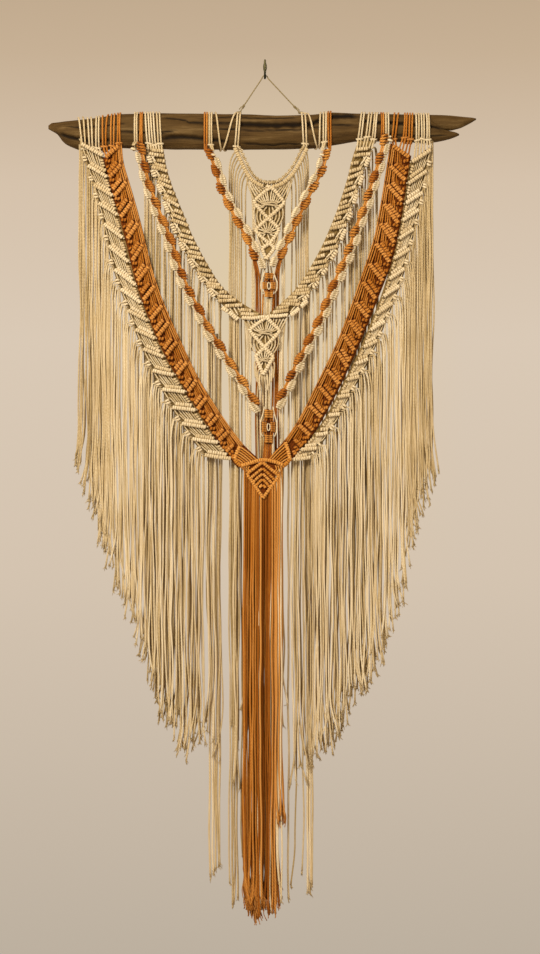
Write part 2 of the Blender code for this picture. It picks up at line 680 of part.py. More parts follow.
def make_necklace(finish):
    mesh, core = bmesh.new(), bmesh.new()
    path, radii = [], []
    steps = 24
    for k in range(steps + 1):
        x, drop = between(NECKLACE_U, k / steps)
        path.append(place(x, drop, BAND_OUT + lean(drop)))
        radii.append(5.6 if k % 2 else 4.4)
    tube(core, path, radii, sides=5, turn=0.3)
    for pair, (x, drop) in zip(NECKLACE_PAIRS, (NECKLACE_U[0], NECKLACE_U[-1])):
        lark_head(mesh, pair, place(x, drop + 3, BAND_OUT + lean(drop + 3)))
    for shape in NECKLACE_DIAMONDS:
        diamond(mesh, shape, BAND_OUT)
    for side, start, stop in ((-1, -66, -40), (1, 46, 74)):
        for k in range(NECKLACE_STRANDS):
            x = start + (stop - start) * k / (NECKLACE_STRANDS - 1)
            root_x = min(max(x, -48), 67)
            u_drop = across(NECKLACE_U, root_x)[0]
            root = place(root_x, u_drop, BAND_OUT + lean(u_drop))
            end = NECKLACE_ENDS - 40 * abs(uneven(k + side))
            path = [
                root,
                place(x, u_drop + 26, NECKLACE_STRANDS_OUT + 6),
                place(x, u_drop + 50, NECKLACE_STRANDS_OUT),
                place(x, end, NECKLACE_STRANDS_OUT),
            ]
            tube(mesh, path, FRINGE_RADIUS, turn=0.5 * uneven(k))
    centre_strands(mesh, NECKLACE_DIAMONDS[-1], NECKLACE_STRANDS_OUT, CENTRE_STRANDS, TASSEL_END - 40)
    return fused("necklace", mesh, core, finish)


# The hook and the hanging cord


def make_hook(finish):
    mesh, core = bmesh.new(), bmesh.new()
    plate = [[], []]
    for ring, out in zip(plate, (0.0, PLATE_THICKNESS)):
        for k in range(16):
            angle = 2 * math.pi * k / 16
            ring.append(place(PLATE_HALF_WIDTH * math.cos(angle), PLATE_HALF_HEIGHT * math.sin(angle), out))
    loft(core, plate)
    path = [place(0, point.drop, point.out) for point in HOOK_BEND]
    tube(mesh, path, HOOK_WIRE, sides=6, side=Vector((1, 0, 0)))
    return fused("wall_hook", mesh, core, finish)


def make_hanger(finish):
    """The thin cord over the hook, and the thicker ends that are wound round the branch."""
    mesh, core = bmesh.new(), bmesh.new()
    outs = [BRANCH_OUT, BRANCH_OUT - 2] + [HANGER_OUT] * 5 + [BRANCH_OUT - 2, BRANCH_OUT]
    path = [place(x, drop, out) for (x, drop), out in zip(HANGER, outs)]
    tube(core, path, HANGER_RADIUS, sides=5)
    for end, knot in ((path[0], path[1]), (path[-1], path[-2])):
        tube(mesh, [knot, knot + (end - knot).normalized() * 5 * MM], HANGER_KNOT_RADIUS, sides=5)
    for pair, end, top_x in ((TIES[0], path[0], TIES[0].top_b), (TIES[1], path[-1], TIES[1].top_a)):
        wrapped_cords(mesh, pair)
        tube(mesh, [end, wrap_point(top_x, 0, WRAP_LIFT + 0.6)], STRAND_RADIUS * 0.8, sides=4)
        low = [wrap_point(x, BAR_STEP + 1, WRAP_LIFT + 1.4) for x in (pair.bar_a - 3, pair.bar_b + 5)]
        tube(mesh, low, BAR_RADIUS, sides=4)
    return fused("hanging_cord", mesh, core, finish)


# Run


def main():
    for obj in list(bpy.data.objects):
        bpy.data.objects.remove(obj)
    cream = material("cream_cotton", (0.75, 0.62, 0.40), 0.85)
    rust = material("rust_cotton", (0.58, 0.26, 0.07), 0.85)
    wood = material("driftwood", (0.11, 0.07, 0.04), 0.8)
    metal = material("hook_metal", (0.35, 0.30, 0.2), 0.4, 1.0)
    make_branch(wood)
    make_hook(metal)
    make_hanger(cream)
    make_outer_band("outer_band_left", OUTER_BAND_LEFT, OUTER_PAIRS_LEFT, LEFT_HEM, -1, cream)
    make_outer_band("outer_band_right", OUTER_BAND_RIGHT, OUTER_PAIRS_RIGHT, RIGHT_HEM, 1, cream)
    make_rust_band(rust)
    make_chevron_band(cream)
    inner_pairs = INNER_SINNET_PAIRS_LEFT + INNER_SINNET_PAIRS_RIGHT
    outer_pairs = OUTER_SINNET_PAIRS_LEFT + OUTER_SINNET_PAIRS_RIGHT
    inner_routes = (INNER_SINNET_LEFT, INNER_SINNET_RIGHT)
    outer_routes = (OUTER_SINNET_LEFT, OUTER_SINNET_RIGHT)
    make_sinnet("inner_sinnet", inner_routes, SINNET_LUMPS_INNER, inner_pairs, INNER_FLOWER, INNER_TAILS_OUT, rust)
    make_sinnet("outer_sinnet", outer_routes, SINNET_LUMPS_OUTER, outer_pairs, OUTER_FLOWER, OUTER_TAILS_OUT, rust)
    make_necklace(cream)


main()
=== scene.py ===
"""Looks of the macrame wall hanging: its cotton cords, knots and fringe, the driftwood branch, the hook and
the light.

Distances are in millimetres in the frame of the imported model: x to the right, y into the wall, z up, from
the centre of the hook's plate. Tables give x and drop, the distance below that centre, and out, the distance
from the wall."""

import math
from collections import namedtuple

import bpy
import numpy as np
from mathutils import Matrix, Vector, noise

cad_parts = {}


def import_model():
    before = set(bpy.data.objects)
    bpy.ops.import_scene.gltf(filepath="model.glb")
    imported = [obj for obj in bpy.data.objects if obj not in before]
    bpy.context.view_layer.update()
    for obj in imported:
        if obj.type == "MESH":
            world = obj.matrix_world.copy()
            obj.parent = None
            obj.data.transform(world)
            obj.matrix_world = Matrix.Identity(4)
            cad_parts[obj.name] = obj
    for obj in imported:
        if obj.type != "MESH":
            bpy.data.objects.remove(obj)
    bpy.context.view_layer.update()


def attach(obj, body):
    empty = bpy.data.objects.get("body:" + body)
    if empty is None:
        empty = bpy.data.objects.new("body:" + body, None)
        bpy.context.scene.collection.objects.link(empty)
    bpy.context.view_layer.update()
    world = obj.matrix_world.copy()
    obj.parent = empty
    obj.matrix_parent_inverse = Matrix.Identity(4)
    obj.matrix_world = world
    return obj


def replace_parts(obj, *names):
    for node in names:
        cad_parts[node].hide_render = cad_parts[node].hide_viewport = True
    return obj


MM = 0.001
FRONT = np.array([0.0, -1.0, 0.0])
UP = np.array([0.0, 0.0, 1.0])
RIGHT = np.array([1.0, 0.0, 0.0])

# Cords
CORD = 1.7  # radius of the cotton cord
TIGHT = 2.3  # its radius in a bar, where it is pressed flat
PLY_PITCH = 5.4  # along a cord, from one ply to the next
HITCH_PITCH = 4.1  # along a bar, from one turn of a half hitch to the next
BAR_CORE = 1.15  # from a bar's middle to the middle of the cord wound on it

FRAY_FIBRES, FRAY_LENGTH, FRAY_SPREAD = 5, 6.5, 0.35  # at each cut end

# Layers, out from the wall, as in the model
BRANCH_OUT = 32.0
BAND_OUT = 49.0
SINNET_OUT = 53.0
TOP_LEAN = 8.0
LEAN_FROM, LEAN_TO = 140.0, 200.0
OUTER_TAILS_OUT = 40.6
CURTAIN_OUT = 36.1
INNER_TAILS_OUT = 31.6
NECKLACE_STRANDS_OUT = 27.1
FRINGE_OUT = 47.5
TASSEL_OUT = 50.0

# The branch: x, top, bottom and half depth
BRANCH = [
    (-379, 107, 111.5, 2), (-376.5, 102.5, 114, 5), (-372, 101, 116, 8), (-366, 100.5, 119.5, 10),
    (-361, 100, 123, 12), (-357, 99.5, 131, 14), (-350, 98.5, 138, 16), (-343, 98, 142, 17), (-329, 96.4,
    147.5, 19),
    (-313, 94.5, 153, 21), (-285, 91, 150, 23), (-254, 86, 145, 24), (-200, 84.5, 148, 24), (-108, 85, 148,
    24),
    (-44, 86, 148, 24), (19, 89, 148, 24), (80, 87, 146, 24), (117, 83, 141, 23), (142, 84, 137, 23), (159,
    85, 134, 22),
    (222, 86, 134, 20), (287, 87, 136.5, 18), (300, 98, 135, 16), (312, 112, 132.5, 13), (324, 115.5,
    129.5, 10),
    (333, 117.3, 126.3, 7), (338, 119, 124, 4), (339.8, 121, 122.5, 1),
]
RIGHT_PRONG = [
    (268, 92, 112, 13), (287, 87, 113, 13), (307, 87.3, 112.5, 12), (325, 88.2, 115, 11), (342, 90, 110.8, 9),
    (358, 91.6, 102.8, 6), (366, 92.4, 98, 3.5), (369.4, 93.6, 95.4, 1),
]
# Lumps of the wood: how high, how stretched along it, how often round it, and a shift
WOOD_LUMPS = [(0.030, 0.011, 1.6, 0), (0.020, 0.03, 4, 9), (0.012, 0.02, 11, 5)]
# Cracks on the front of the branch: half width, depth and (x, drop) along each
CRACKS = [
    (4.4, 8.0, [(-54, 103), (-44, 105), (-20, 106.5), (19, 107), (60, 106.5), (80, 105), (100, 98), (117,
    92), (142, 90.5), (166, 92)]),
    (1.3, 3.0, [(-184, 94), (-160, 96), (-138, 99), (-132, 103), (-90, 104), (-50, 104)]),
    (3.0, 5.0, [(-186, 132), (-160, 128), (-130, 129), (-104, 131), (-60, 136)]),
    (1.4, 2.4, [(-44, 139), (10, 141), (70, 139)]),
    (1.5, 2.8, [(-262, 118), (-228, 119), (-190, 121), (-150, 117)]),
    (2.6, 5.0, [(-366, 122), (-350, 125), (-330, 131), (-300, 136), (-262, 132)]),
    (1.0, 1.6, [(-350, 108), (-320, 112), (-280, 108), (-240, 104)]),
    (2.4, 4.5, [(160, 98), (200, 103), (240, 104), (275, 108), (300, 111), (316, 114)]),
    (1.2, 1.8, [(-100, 113), (-20, 117), (60, 116), (120, 106), (160, 108)]),
    (1.1, 1.8, [(196, 122), (230, 124), (280, 126), (322, 124)]),
    (1.0, 1.5, [(-120, 96), (-60, 93), (0, 95), (60, 94)]),
]

# Cords over the branch: x of both cords at its top and at the roll in front, and how far they stand off where
# it tapers
OUTER_PAIRS_LEFT = [(-327, -319, -318, -313, 2.0), (-311, -305, -306, -301, 0), (-295, -290, -295, -290, 0)]
OUTER_PAIRS_RIGHT = [(264, 268.5, 264.5, 268.5, 0), (273, 277.5, 274, 278, 0), (282, 286, 283, 287, 0)]
RUST_PAIRS_LEFT = [(-284, -274, -283, -278, 0), (-268, -263, -269, -264, 0), (-257.5, -253, -257.5, -253, 0)]
RUST_PAIRS_RIGHT = [(227, 234, 222, 227, 0), (245, 249.5, 241.5, 246, 0), (254, 258.5, 251.5, 256, 0)]
CHEVRON_PAIRS_LEFT = [
    (-209.5, -205, -205, -200.5, 0), (-200.5, -196, -195.5, -191, 0), (-190.5, -185, -186, -181, 0),
]
CHEVRON_PAIRS_RIGHT = [(170, 175, 163, 168, 0), (183, 188, 176, 181, 0), (193.5, 197.5, 187.5, 192, 0)]
NECKLACE_PAIRS = [(-47, -42.5, -52, -47, 0), (64, 69.5, 67.5, 72.5, 0)]
TIES = [(-87, -49.5, -76.5, -73, 0), (74, 97.5, 91.5, 95, 0)]
ROLL_ANGLE = math.radians(135)  # from the top of the branch down its front
WRAP_STEPS = 40

# Bands: one row for each bar, inner x, inner drop, outer x, outer drop
OUTER_BAND_LEFT = [
    (-283, 162, -322, 140), (-277, 194, -312, 175), (-264, 240, -298, 220), (-248, 308, -282, 282),
    (-230, 378, -268, 348), (-208, 440, -243, 420), (-178, 510, -215, 497), (-141, 572, -182, 567),
    (-103, 634, -147, 628), (-60, 689, -108, 682),
]
OUTER_BAND_RIGHT = [
    (258, 166, 292, 144), (252, 199, 286, 177), (243, 262, 273, 242), (231, 322, 257, 306), (212, 392, 240,
    372),
    (188, 455, 215, 438), (165, 510, 189, 500), (137, 565, 158, 560), (102, 630, 122, 628), (50, 688, 82,
    684),
]
RUST_BAND_LEFT = [
    (-252, 141, -280, 163), (-249, 173, -273, 198), (-234, 224, -258, 252), (-219, 278, -241, 308),
    (-201, 352, -224, 381), (-178, 420, -201, 446), (-149, 485, -172, 511), (-117, 551, -136, 574),
    (-79, 612, -99, 633), (-42, 663, -66, 679), (-14, 690, -46, 703),
]
RUST_BAND_RIGHT = [
    (221, 139, 253, 160), (215, 177, 246.5, 204), (205, 240, 235, 276), (192, 306, 220, 343), (172, 366,
    199, 399),
    (149, 432, 174, 462), (126, 490, 148, 522), (94, 556, 119, 582), (60, 623, 84, 643), (28, 668, 53, 682),
    (3, 692, 30, 703),
]
CHEVRON_BAND_LEFT = [
    (-179, 143, -207, 141), (-172, 184, -199, 177), (-161, 219, -188, 208), (-145, 258, -175, 243),
    (-126, 303, -157, 295), (-103, 347, -133, 341), (-74, 392, -103, 388), (-38, 420, -72, 424), (2, 442,
    -38, 448),
]
CHEVRON_BAND_RIGHT = [
    (163, 135, 194, 136), (153, 165, 183, 161), (144, 202, 172, 191), (133, 237, 161, 226), (119, 275, 148,
    267),
    (96, 326, 128, 320), (63, 382, 96, 376), (33, 415, 66, 415), (-2, 442, 38, 445),
]
# Where the long bar of each group lies: its drop at the outer end in the outer bands, at the inner end in the
# others
OUTER_MARKS_LEFT = [
    140, 178.5, 211.8, 243.2, 280, 318.5, 358.8, 393.8, 429.8, 463.8, 498.8, 534.8, 568.2,
    599.6, 628.2, 654.5, 682,
]
OUTER_MARKS_RIGHT = [
    150.5, 187.2, 224, 253.8, 288.8, 323.8, 357, 387.4, 418.2, 449.8, 483, 514.5, 546, 577.5,
    610.8, 644, 670.2, 686,
]
RUST_MARKS_LEFT = [
    143, 174.3, 204, 238.9, 276.5, 314.1, 351.8, 385, 420.9, 449.8, 483, 519.1, 550.4, 581, 612.5, 639.8, 668,
]
RUST_MARKS_RIGHT = [
    141.8, 176.8, 208.2, 243.2, 276.5, 311.5, 346.5, 378.7, 414.2, 445.4, 470.1, 498.8, 532, 561.8, 595,
    629.1, 660,
]
CHEVRON_MARKS_LEFT = [161, 187.6, 215.2, 248.2, 283.5, 313.4, 340.7, 370.7, 392, 412.1]
CHEVRON_MARKS_RIGHT = [161, 199.5, 232.8, 262.5, 288.8, 324.6, 358.1, 381.5, 401.6, 419.5]

# Open cords of a group: their places at the top and at the foot, each s and w, or the top's w alone
OUTER_OPEN_CORDS = [
    (0.76, (0.74, 0.62)), (0.63, (0.72, 0.51)), (0.50, (0.72, 0.40)), (0.37, (0.72, 0.29)),
    (0.24, (0.72, 0.18)),
]
RUST_OPEN_CORDS = [
    ((0.06, 0.26), (0.70, 0.32)), ((0.06, 0.37), (0.70, 0.43)), ((0.08, 0.48), (0.72, 0.54)),
    ((0.30, 0.58), (0.72, 0.66)), ((0.50, 0.72), (0.74, 0.80)),
]

# Routes of the two-colour sinnets, x and drop, and the drops of the first and last rust lump
INNER_SINNET_LEFT = [
    (-99, 139), (-94, 158), (-84, 187), (-75, 219), (-61, 247), (-46, 275), (-30, 304), (-17, 336), (-7, 362),
]
INNER_SINNET_RIGHT = [
    (108, 133), (105, 158), (98, 186), (83, 215), (69, 243), (54, 273), (41, 304), (28, 331), (17, 362),
]
OUTER_SINNET_LEFT = [
    (-219, 140), (-215, 160), (-211, 180), (-204, 210), (-193, 240), (-181, 271), (-167, 304), (-156, 338),
    (-144, 373), (-130, 404), (-113, 434), (-97, 466), (-78, 495), (-59, 527), (-40, 555), (-23, 583), (-8,
    604),
]
OUTER_SINNET_RIGHT = [
    (210, 131), (203, 160), (195, 189), (186, 215), (175, 250), (161, 285), (150, 318), (136, 352),
    (122, 383), (109, 415), (97, 444), (81, 476), (64, 509), (46, 546), (30, 579), (14, 604),
]
INNER_LUMPS = [(159, 334, 7), (159, 331, 7)]
OUTER_LUMPS = [(149, 584, 15), (134, 577, 15)]
INNER_SINNET_PAIRS = (
    [((-105.5, -101.5, -105.5, -101.5, 0), "rust"), ((-97, -93, -97, -93, 0), "cream")],
    [((103, 107, 102, 106, 0), "cream"), ((111, 115, 111, 115, 0), "rust")],
)
OUTER_SINNET_PAIRS = (
    [((-227, -223, -227, -223, 0), "cream"), ((-218.5, -214.5, -218.5, -214.5, 0), "rust")],
    [((203, 207, 203, 207, 0), "rust"), ((211.5, 215.5, 211.5, 215.5, 0), "cream")],
)
# The flowers' tails: colour, x where a tail hangs, and x and drop of its root
INNER_TAILS = [
    ("rust", -15.4, -21.5, 337), ("rust", -12.1, -18.5, 340), ("rust", -8.8, -16, 343), ("rust", -4.5, -3,
    402),
    ("cream", 1.9, 4, 408), ("cream", 4.9, 6.5, 408), ("cream", 7.6, 9, 408), ("rust", 13.4, 15.5, 402),
    ("rust", 17.2, 24, 341), ("rust", 20.2, 27, 338), ("rust", 23.4, 30, 335),
]
OUTER_TAILS = [
    ("rust", -2.6, 0, 658), ("rust", 0.3, 2, 660), ("rust", 3.5, 5, 660), ("rust", 6.7, 8, 660), ("rust",
    9.8, 11, 658),
    ("cream", -7.9, -6, 652), ("cream", 13.1, 14, 652),
]
# A sinnet: its node, routes, lumps and pairs, its flower's x, top and bottom and the tails' end, its tails
# and how far out they hang, and the side of its cream cord
INNER_SINNET = (
    "inner_sinnet", (INNER_SINNET_LEFT, INNER_SINNET_RIGHT), INNER_LUMPS, INNER_SINNET_PAIRS,
    (7.0, 363.8, 409, 1440), INNER_TAILS, INNER_TAILS_OUT, 1,
)
OUTER_SINNET = (
    "outer_sinnet", (OUTER_SINNET_LEFT, OUTER_SINNET_RIGHT), OUTER_LUMPS, OUTER_SINNET_PAIRS,
    (6.3, 602, 663, 1452), OUTER_TAILS, OUTER_TAILS_OUT, -1,
)
# One side of a cream loop through a flower: x from its middle, share of its height, lift
FLOWER_LOOP = [(7.5, -0.06, -2), (9.5, 0.12, -1), (13.6, 0.36, 0.5), (14.2, 0.52, 0.5), (13.4, 0.68, 0.5),
               (10, 0.80, -3)]

# The necklace: its two rows, and the bars that cross below it as two runs of (x, drop)
NECKLACE_U = [
    (-49, 146), (-41, 163), (-31, 184), (-21, 199), (-7, 208), (8, 211), (23, 208), (37, 199), (50, 184),
    (62, 163), (70, 146),
]
NECKLACE_RUNS = [
    [(1.8, 212.8), (14, 218), (31.5, 238.7), (32.2, 244), (19.2, 257.2), (5.6, 269.2), (-14, 287), (-14.7,
     293.1), (-4.4, 303.6),
     (7.7, 313.2), (15.1, 319.6), (14.7, 324.4), (2.4, 340.6)],
    [(15.8, 214.2), (3.5, 219.8), (-16.8, 237.3), (-17.8, 242.9), (-7, 256.4), (5.6, 269.2), (23.4, 287),
     (23.1, 292.2), (15.1, 304.5),
     (7.7, 313.2), (-3.8, 320.9), (-4.2, 325.5), (2.4, 340.6)],
]
NECKLACE_DIAMONDS = [
    ((7.7, 215.2), (-18.2, 240.5), (32.2, 241.3), (5.6, 269.2)), ((5.6, 269.2), (-15.1, 290.5), (23.8,
    289.4), (7.7, 313.2)),
]
NECKLACE_WIDTHS = [(203, -22, 38), (240, -17, 32), (268, -13, 27), (292, -12, 22), (315, -4, 14), (334, 1, 5)]
NECKLACE_FAN_STARTS = [(-34.0, 193), (-29.5, 199), (-25, 203), (-20.5, 206), (-16, 208.5), (-11, 211),
                       (-6, 213)]
NECKLACE_FAN_ENDS = [(-19.5, 236), (-15.5, 231.5), (-12, 228), (-8.5, 225), (-5, 222), (-1, 219), (2, 217)]
NECKLACE_STRAND_XS = [(-62, -59, -56, -52.5, -49, -45.5, -41, -34), (75.5, 73, 70, 66.5, 63, 59, 54, 47)]
CHEVRON_WIDTHS = [(448, -34, 34), (468, -22, 22), (495, -13, 13), (515, -12, 10), (535, -6, 1)]
CHEVRON_RUNS = [
    [(-40.6, 443), (-20, 443.6), (0.4, 442), (12, 452), (24, 463.5), (24.6, 468), (13, 481), (-0.9, 494.7),
     (-14.8, 509.5), (-15, 513.5), (-3, 542.3)],
    [(40, 438), (22, 440), (7, 440.5), (-0.9, 444.5), (-24.7, 462.5), (-25.2, 467), (-14, 480), (-0.9,
     494.7), (13, 509.5), (13.4, 513.5), (-3, 542.3)],
]
CHEVRON_DIAMONDS = [
    ((1.5, 444), (-25.4, 465), (24.8, 466), (-0.9, 494.7)), ((-0.9, 494.7), (-15.4, 511.9), (13.7, 511.9),
    (-3, 542.3)),
]
JOIN_BARS = [
    ((-70, 422.5), (-39.5, 420.7)), ((-43, 428.8), (-24, 430.5)), ((-42, 436), (-11, 437.5)), ((41, 429.5),
    (14, 433.6)),
    ((42, 423), (20, 426.5)),
]
JOIN_COILS = [((-63, 433), (-47, 446)), ((-75, 425), (-65, 432)), ((45, 439), (60, 427)),
              ((63, 424), (74, 413))]
JOIN_CORDS = [
    ((-63, 424), (-53, 438)), ((-70, 421), (-61, 434)), ((-55, 424), (-47, 438)), ((-48, 424), (-42, 434)),
    ((61, 420), (49, 435)), ((54, 421), (44, 434)), ((69, 414), (60, 426)),
]

# The leaf
LEAF_ARC = [(-41.5, 701.5, -1), (-22, 695.5), (-8, 691.5), (4, 691.5), (17, 694.5), (31, 700, -1)]
LEAF_RIM_LEFT = [(-5, 695.5), (-19, 706), (-30.5, 716), (-25, 725), (-14.5, 741), (-3.3, 757)]
LEAF_RIM_RIGHT = [(-4, 695.5), (11, 708), (23.5, 719), (18, 728), (7, 743), (-3.3, 758)]
LEAF_ROWS = [
    [(-5, 706.5), (-14.5, 714), (-24, 722)], [(-5, 716), (-13, 722.5), (-20, 729.5)], [(-5, 725.5), (-10.5,
     730.5), (-15.5, 736)],
    [(-5, 734.5), (-10, 739.5)], [(-4, 706), (6, 715), (16, 725.5)], [(-4, 715.5), (4, 723), (12, 732)],
    [(-4, 725), (2, 731), (8, 738)], [(-3.5, 735), (1.5, 740)],
]
LEAF_CORNERS = [[(-53, 690, -1), (-46, 698, -1), (-38, 704, -1)],
                [(45, 688, -1), (38, 697, -1), (30, 703, -1)]]
# The cords between each band's last bar, from its top to its foot, and the leaf's arc, from near to far
LEAF_ARMS = [((-43.5, 667), (-53, 690), (-13, 691.5), (-38.5, 699.5)),
             ((35.5, 660), (43.5, 690), (5, 691.5), (28, 698.5))]

# Hems, x and drop, and how far outside the band's edge the strands of each of its groups hang
LEFT_HEM = [
    (-320, 705), (-304, 752), (-292, 768), (-284, 820), (-264, 884), (-245, 936), (-215, 1003), (-185, 1124),
    (-170, 1150), (-135, 1200), (-98, 1172), (-68, 1234), (-35, 1267),
]
RIGHT_HEM = [
    (32, 1290), (52, 1262), (62, 1255), (90, 1216), (105, 1178), (122, 1174), (140, 1131), (152, 1098),
    (181, 1073), (201, 1032), (224, 962), (238, 921), (252, 828), (272, 761), (289, 728), (299, 686),
]
FRINGE_OFFSETS = [(0, -3), (3, 0.5, -2, -5), (3, 0, -3, -6)]
FRINGE_OFFSETS += [(6, 3.5, 1, -1.5)] * 3 + [(13, 9.8, 6.6, 3.4, 0)] * 30

TASSEL_END = 1490.0
# Its layers from the back: out and number of strands
TASSEL_LAYERS = [(TASSEL_OUT - 4.5, 15), (TASSEL_OUT, 19), (TASSEL_OUT + 3.8, 17)]

# The hook and the hanging cord
PLATE_HALF_WIDTH, PLATE_HALF_HEIGHT, PLATE_THICKNESS = 3.4, 9.0, 2.0
HOOK_WIRE = 2.0
HOOK_BEND = [
    (1, 0), (9, 0), (13, 2.5), (15, 8), (16.5, 15), (20, 20.5), (24.5, 22), (29, 20), (32, 14), (33, 5),
    (33.5, -10),
]  # out, drop
HANGER_OUT = 24.5
HANGER_RADIUS = 1.15
HANGER_LEFT = [(0, 17.2), (-3.6, 18.8), (-5.6, 23), (-37.5, 71.2), (-43.8, 82.3)]
HANGER_RIGHT = [(0, 17.2), (3.6, 18.8), (5.6, 23), (52.3, 73), (60.6, 82.8)]

# Groups of tables for each side
RUST_BANDS = [
    (RUST_BAND_LEFT, RUST_MARKS_LEFT, RUST_PAIRS_LEFT, -1), (RUST_BAND_RIGHT, RUST_MARKS_RIGHT,
    RUST_PAIRS_RIGHT, 1),
]
CHEVRON_BANDS = [
    (CHEVRON_BAND_LEFT, CHEVRON_MARKS_LEFT, CHEVRON_PAIRS_LEFT, LEFT_HEM, -1),
    (CHEVRON_BAND_RIGHT, CHEVRON_MARKS_RIGHT, CHEVRON_PAIRS_RIGHT, RIGHT_HEM, 1),
]

# Colours. A cotton's are its darkest, middle and lightest tone and the colour of its painted shade in grooves
# and creases
COTTONS = {
    "cream_cord": ((0.42, 0.305, 0.14), (0.67, 0.53, 0.31), (0.90, 0.78, 0.55), (0.35, 0.23, 0.08)),
    "rust_cord": ((0.27, 0.082, 0.005), (0.50, 0.185, 0.019), (0.72, 0.34, 0.080), (0.20, 0.045, 0.002)),
    "sinnet_cord": ((0.22, 0.055, 0.004), (0.46, 0.155, 0.016), (0.76, 0.35, 0.07), (0.11, 0.022, 0.001)),
    "hanger_cord": ((0.17, 0.125, 0.055), (0.30, 0.235, 0.115), (0.52, 0.43, 0.25), (0.12, 0.08, 0.03)),
    "leaf_cord": ((0.36, 0.115, 0.008), (0.64, 0.265, 0.034), (0.88, 0.46, 0.12), (0.20, 0.045, 0.002)),
}
WOOD_TONES = [
    (0.32, (0.046, 0.023, 0.006)), (0.45, (0.074, 0.038, 0.010)), (0.56, (0.105, 0.059, 0.018)),
    (0.68, (0.185, 0.115, 0.044)),
]
# The light of a plain room, from below to above
WALL_LIGHT = [
    (0.0, (0.50, 0.43, 0.345)), (0.12, (0.55, 0.465, 0.37)), (0.40, (0.66, 0.55, 0.435)), (0.64, (0.70,
    0.585, 0.465)),
    (0.80, (0.67, 0.54, 0.41)), (0.93, (0.57, 0.435, 0.30)), (1.0, (0.53, 0.40, 0.27)),
]
# Lights and floor, in metres: a light's name, place, target, size, power and colour
LIGHTS = [
    ("key", (-1.2, -2.6, 0.85), (0, 0, -0.65), 0.9, 96.0, (1.0, 0.92, 0.80)),
    ("fill", (1.6, -2.4, -0.2), (0, 0, -0.8), 1.8, 12.0, (1.0, 0.94, 0.86)),
    ("behind", (0.9, 2.6, 0.4), (0, 0, -0.7), 1.6, 22.0, (1.0, 0.92, 0.82)),
]
FLOOR_HALF, FLOOR_HEIGHT = 1.3, -2.1

# The camera
VIEW_MM_A_PIXEL = 1.7455  # at the knots' plane
VIEW_HEIGHT_PIXELS = 954
VIEW_X, VIEW_DROP = 8.75, 721.0
LENS, SENSOR = 129.0, 36.0

# How a cord is wound round a bar: the radii of the turns, the cord's own radius, the way from one turn to the
# next, and how much painted shade darkens the turns where they press on each other
Winding = namedtuple("Winding", "across depth cord pitch crease",
                     defaults=(BAR_CORE, BAR_CORE, TIGHT, HITCH_PITCH, 0.16))
PLAIN = Winding()
OUTER_LONG = Winding(1.6, 1.9, 2.4, 4.2, 0.24)
OUTER_SHORT = Winding(1.5, 1.8, 2.35, 4.2, 0.24)
RUST_LONG = Winding(1.9, 2.1, 2.45, 4.8, 0.36)
RUST_SHORT = Winding(1.8, 1.9, 2.45, 4.8, 0.36)
RUST_LAST = Winding(1.6, 1.8, pitch=4.7, crease=0.36)
CHEVRON = Winding(1.3, 2.0, 2.35, 4.1, 0.18)
CHEVRON_COLUMN = Winding(1.4, 1.6, 2.4, crease=0.2)
NECKLACE_COLUMN = Winding(1.3, 1.5, 2.35, crease=0.2)
NECKLACE_INNER = Winding(1.3, 1.6, 1.35, 3.1)
NECKLACE_OUTER = Winding(1.7, 1.7, 2.4, 4.1, 0.28)
LEAF_ARC_BAR = Winding(1.5, 1.7, 2.3, 3.9, 0.2)
LEAF_RIM = Winding(1.2, 1.5, 2.2, 4.0, 0.28)
LEAF_ROW = Winding(0.9, 1.4, 2.0, 3.9, 0.34)
LEAF_CORNER = Winding(1.8, 1.8, pitch=4.4, crease=0.3)
LEAF_ARM = Winding(1.5)
COIL = Winding(2.4, 1.8, 2.1, 4.4)
THIN_COIL = Winding(1.2, 1.8, 2.1, 4.4)
SINNET_COIL = Winding(3.0, 2.6, 2.1, 4.4)
RUST_LUMP = Winding(4.9, 3.3, 2.2, 4.7, 0.24)
HANGER_KNOT = Winding(1.2, 1.2, 1.15, 2.3)
JOIN_COIL = Winding(2.4)


# Points, paths and meshes


def at(x, drop, out):
    """A point from x, the drop below the hook and the distance from the wall."""
    return np.array([x, -out, -drop], float)


def lean(drop):
    """How far in front of its plane a knot at this drop hangs."""
    return TOP_LEAN * min(1.0, max(0.0, (LEAN_TO - drop) / (LEAN_TO - LEAN_FROM)))


def unit(vectors):
    return vectors / np.maximum(np.linalg.norm(vectors, axis=-1, keepdims=True), 1e-9)


def smooth(points, spacing):
    """A smooth curve through the points, with a point about every spacing."""
    points = np.asarray(points, float)
    padded = np.vstack([2 * points[0] - points[1], points, 2 * points[-1] - points[-2]])
    run = []
    for before, start, end, after in zip(padded, padded[1:], padded[2:], padded[3:]):
        steps = max(1, math.ceil(np.linalg.norm(end - start) / spacing))
        t = (np.arange(steps) / steps)[:, None]
        bend = 2 * before - 5 * start + 4 * end - after
        twist = 3 * start - before - 3 * end + after
        run.append(0.5 * (2 * start + (end - before) * t + bend * t**2 + twist * t**3))
    return np.vstack(run + [points[-1:]])


def lengths(path):
    """The distance along the path to each of its points."""
    return np.concatenate([[0.0], np.cumsum(np.linalg.norm(np.diff(path, axis=0), axis=1))])


def columns_at(spots, known, rows):
    """The values of some columns, worked out between the spots where they are known."""
    return np.column_stack([np.interp(spots, known, column) for column in np.asarray(rows).T])


def part_of(path, start, end, count):
    """count points evenly along the path from share start to share end."""
    run = lengths(path)
    return columns_at(np.linspace(start, end, count) * run[-1], run, path)


def in_front(points, out, spacing=4.0):
    """A smooth curve through (x, drop) or (x, drop, lift) points at a distance from the wall."""
    return smooth([at(p[0], p[1], out + lean(p[1]) + (p[2] if len(p) > 2 else 0.0)) for p in points], spacing)


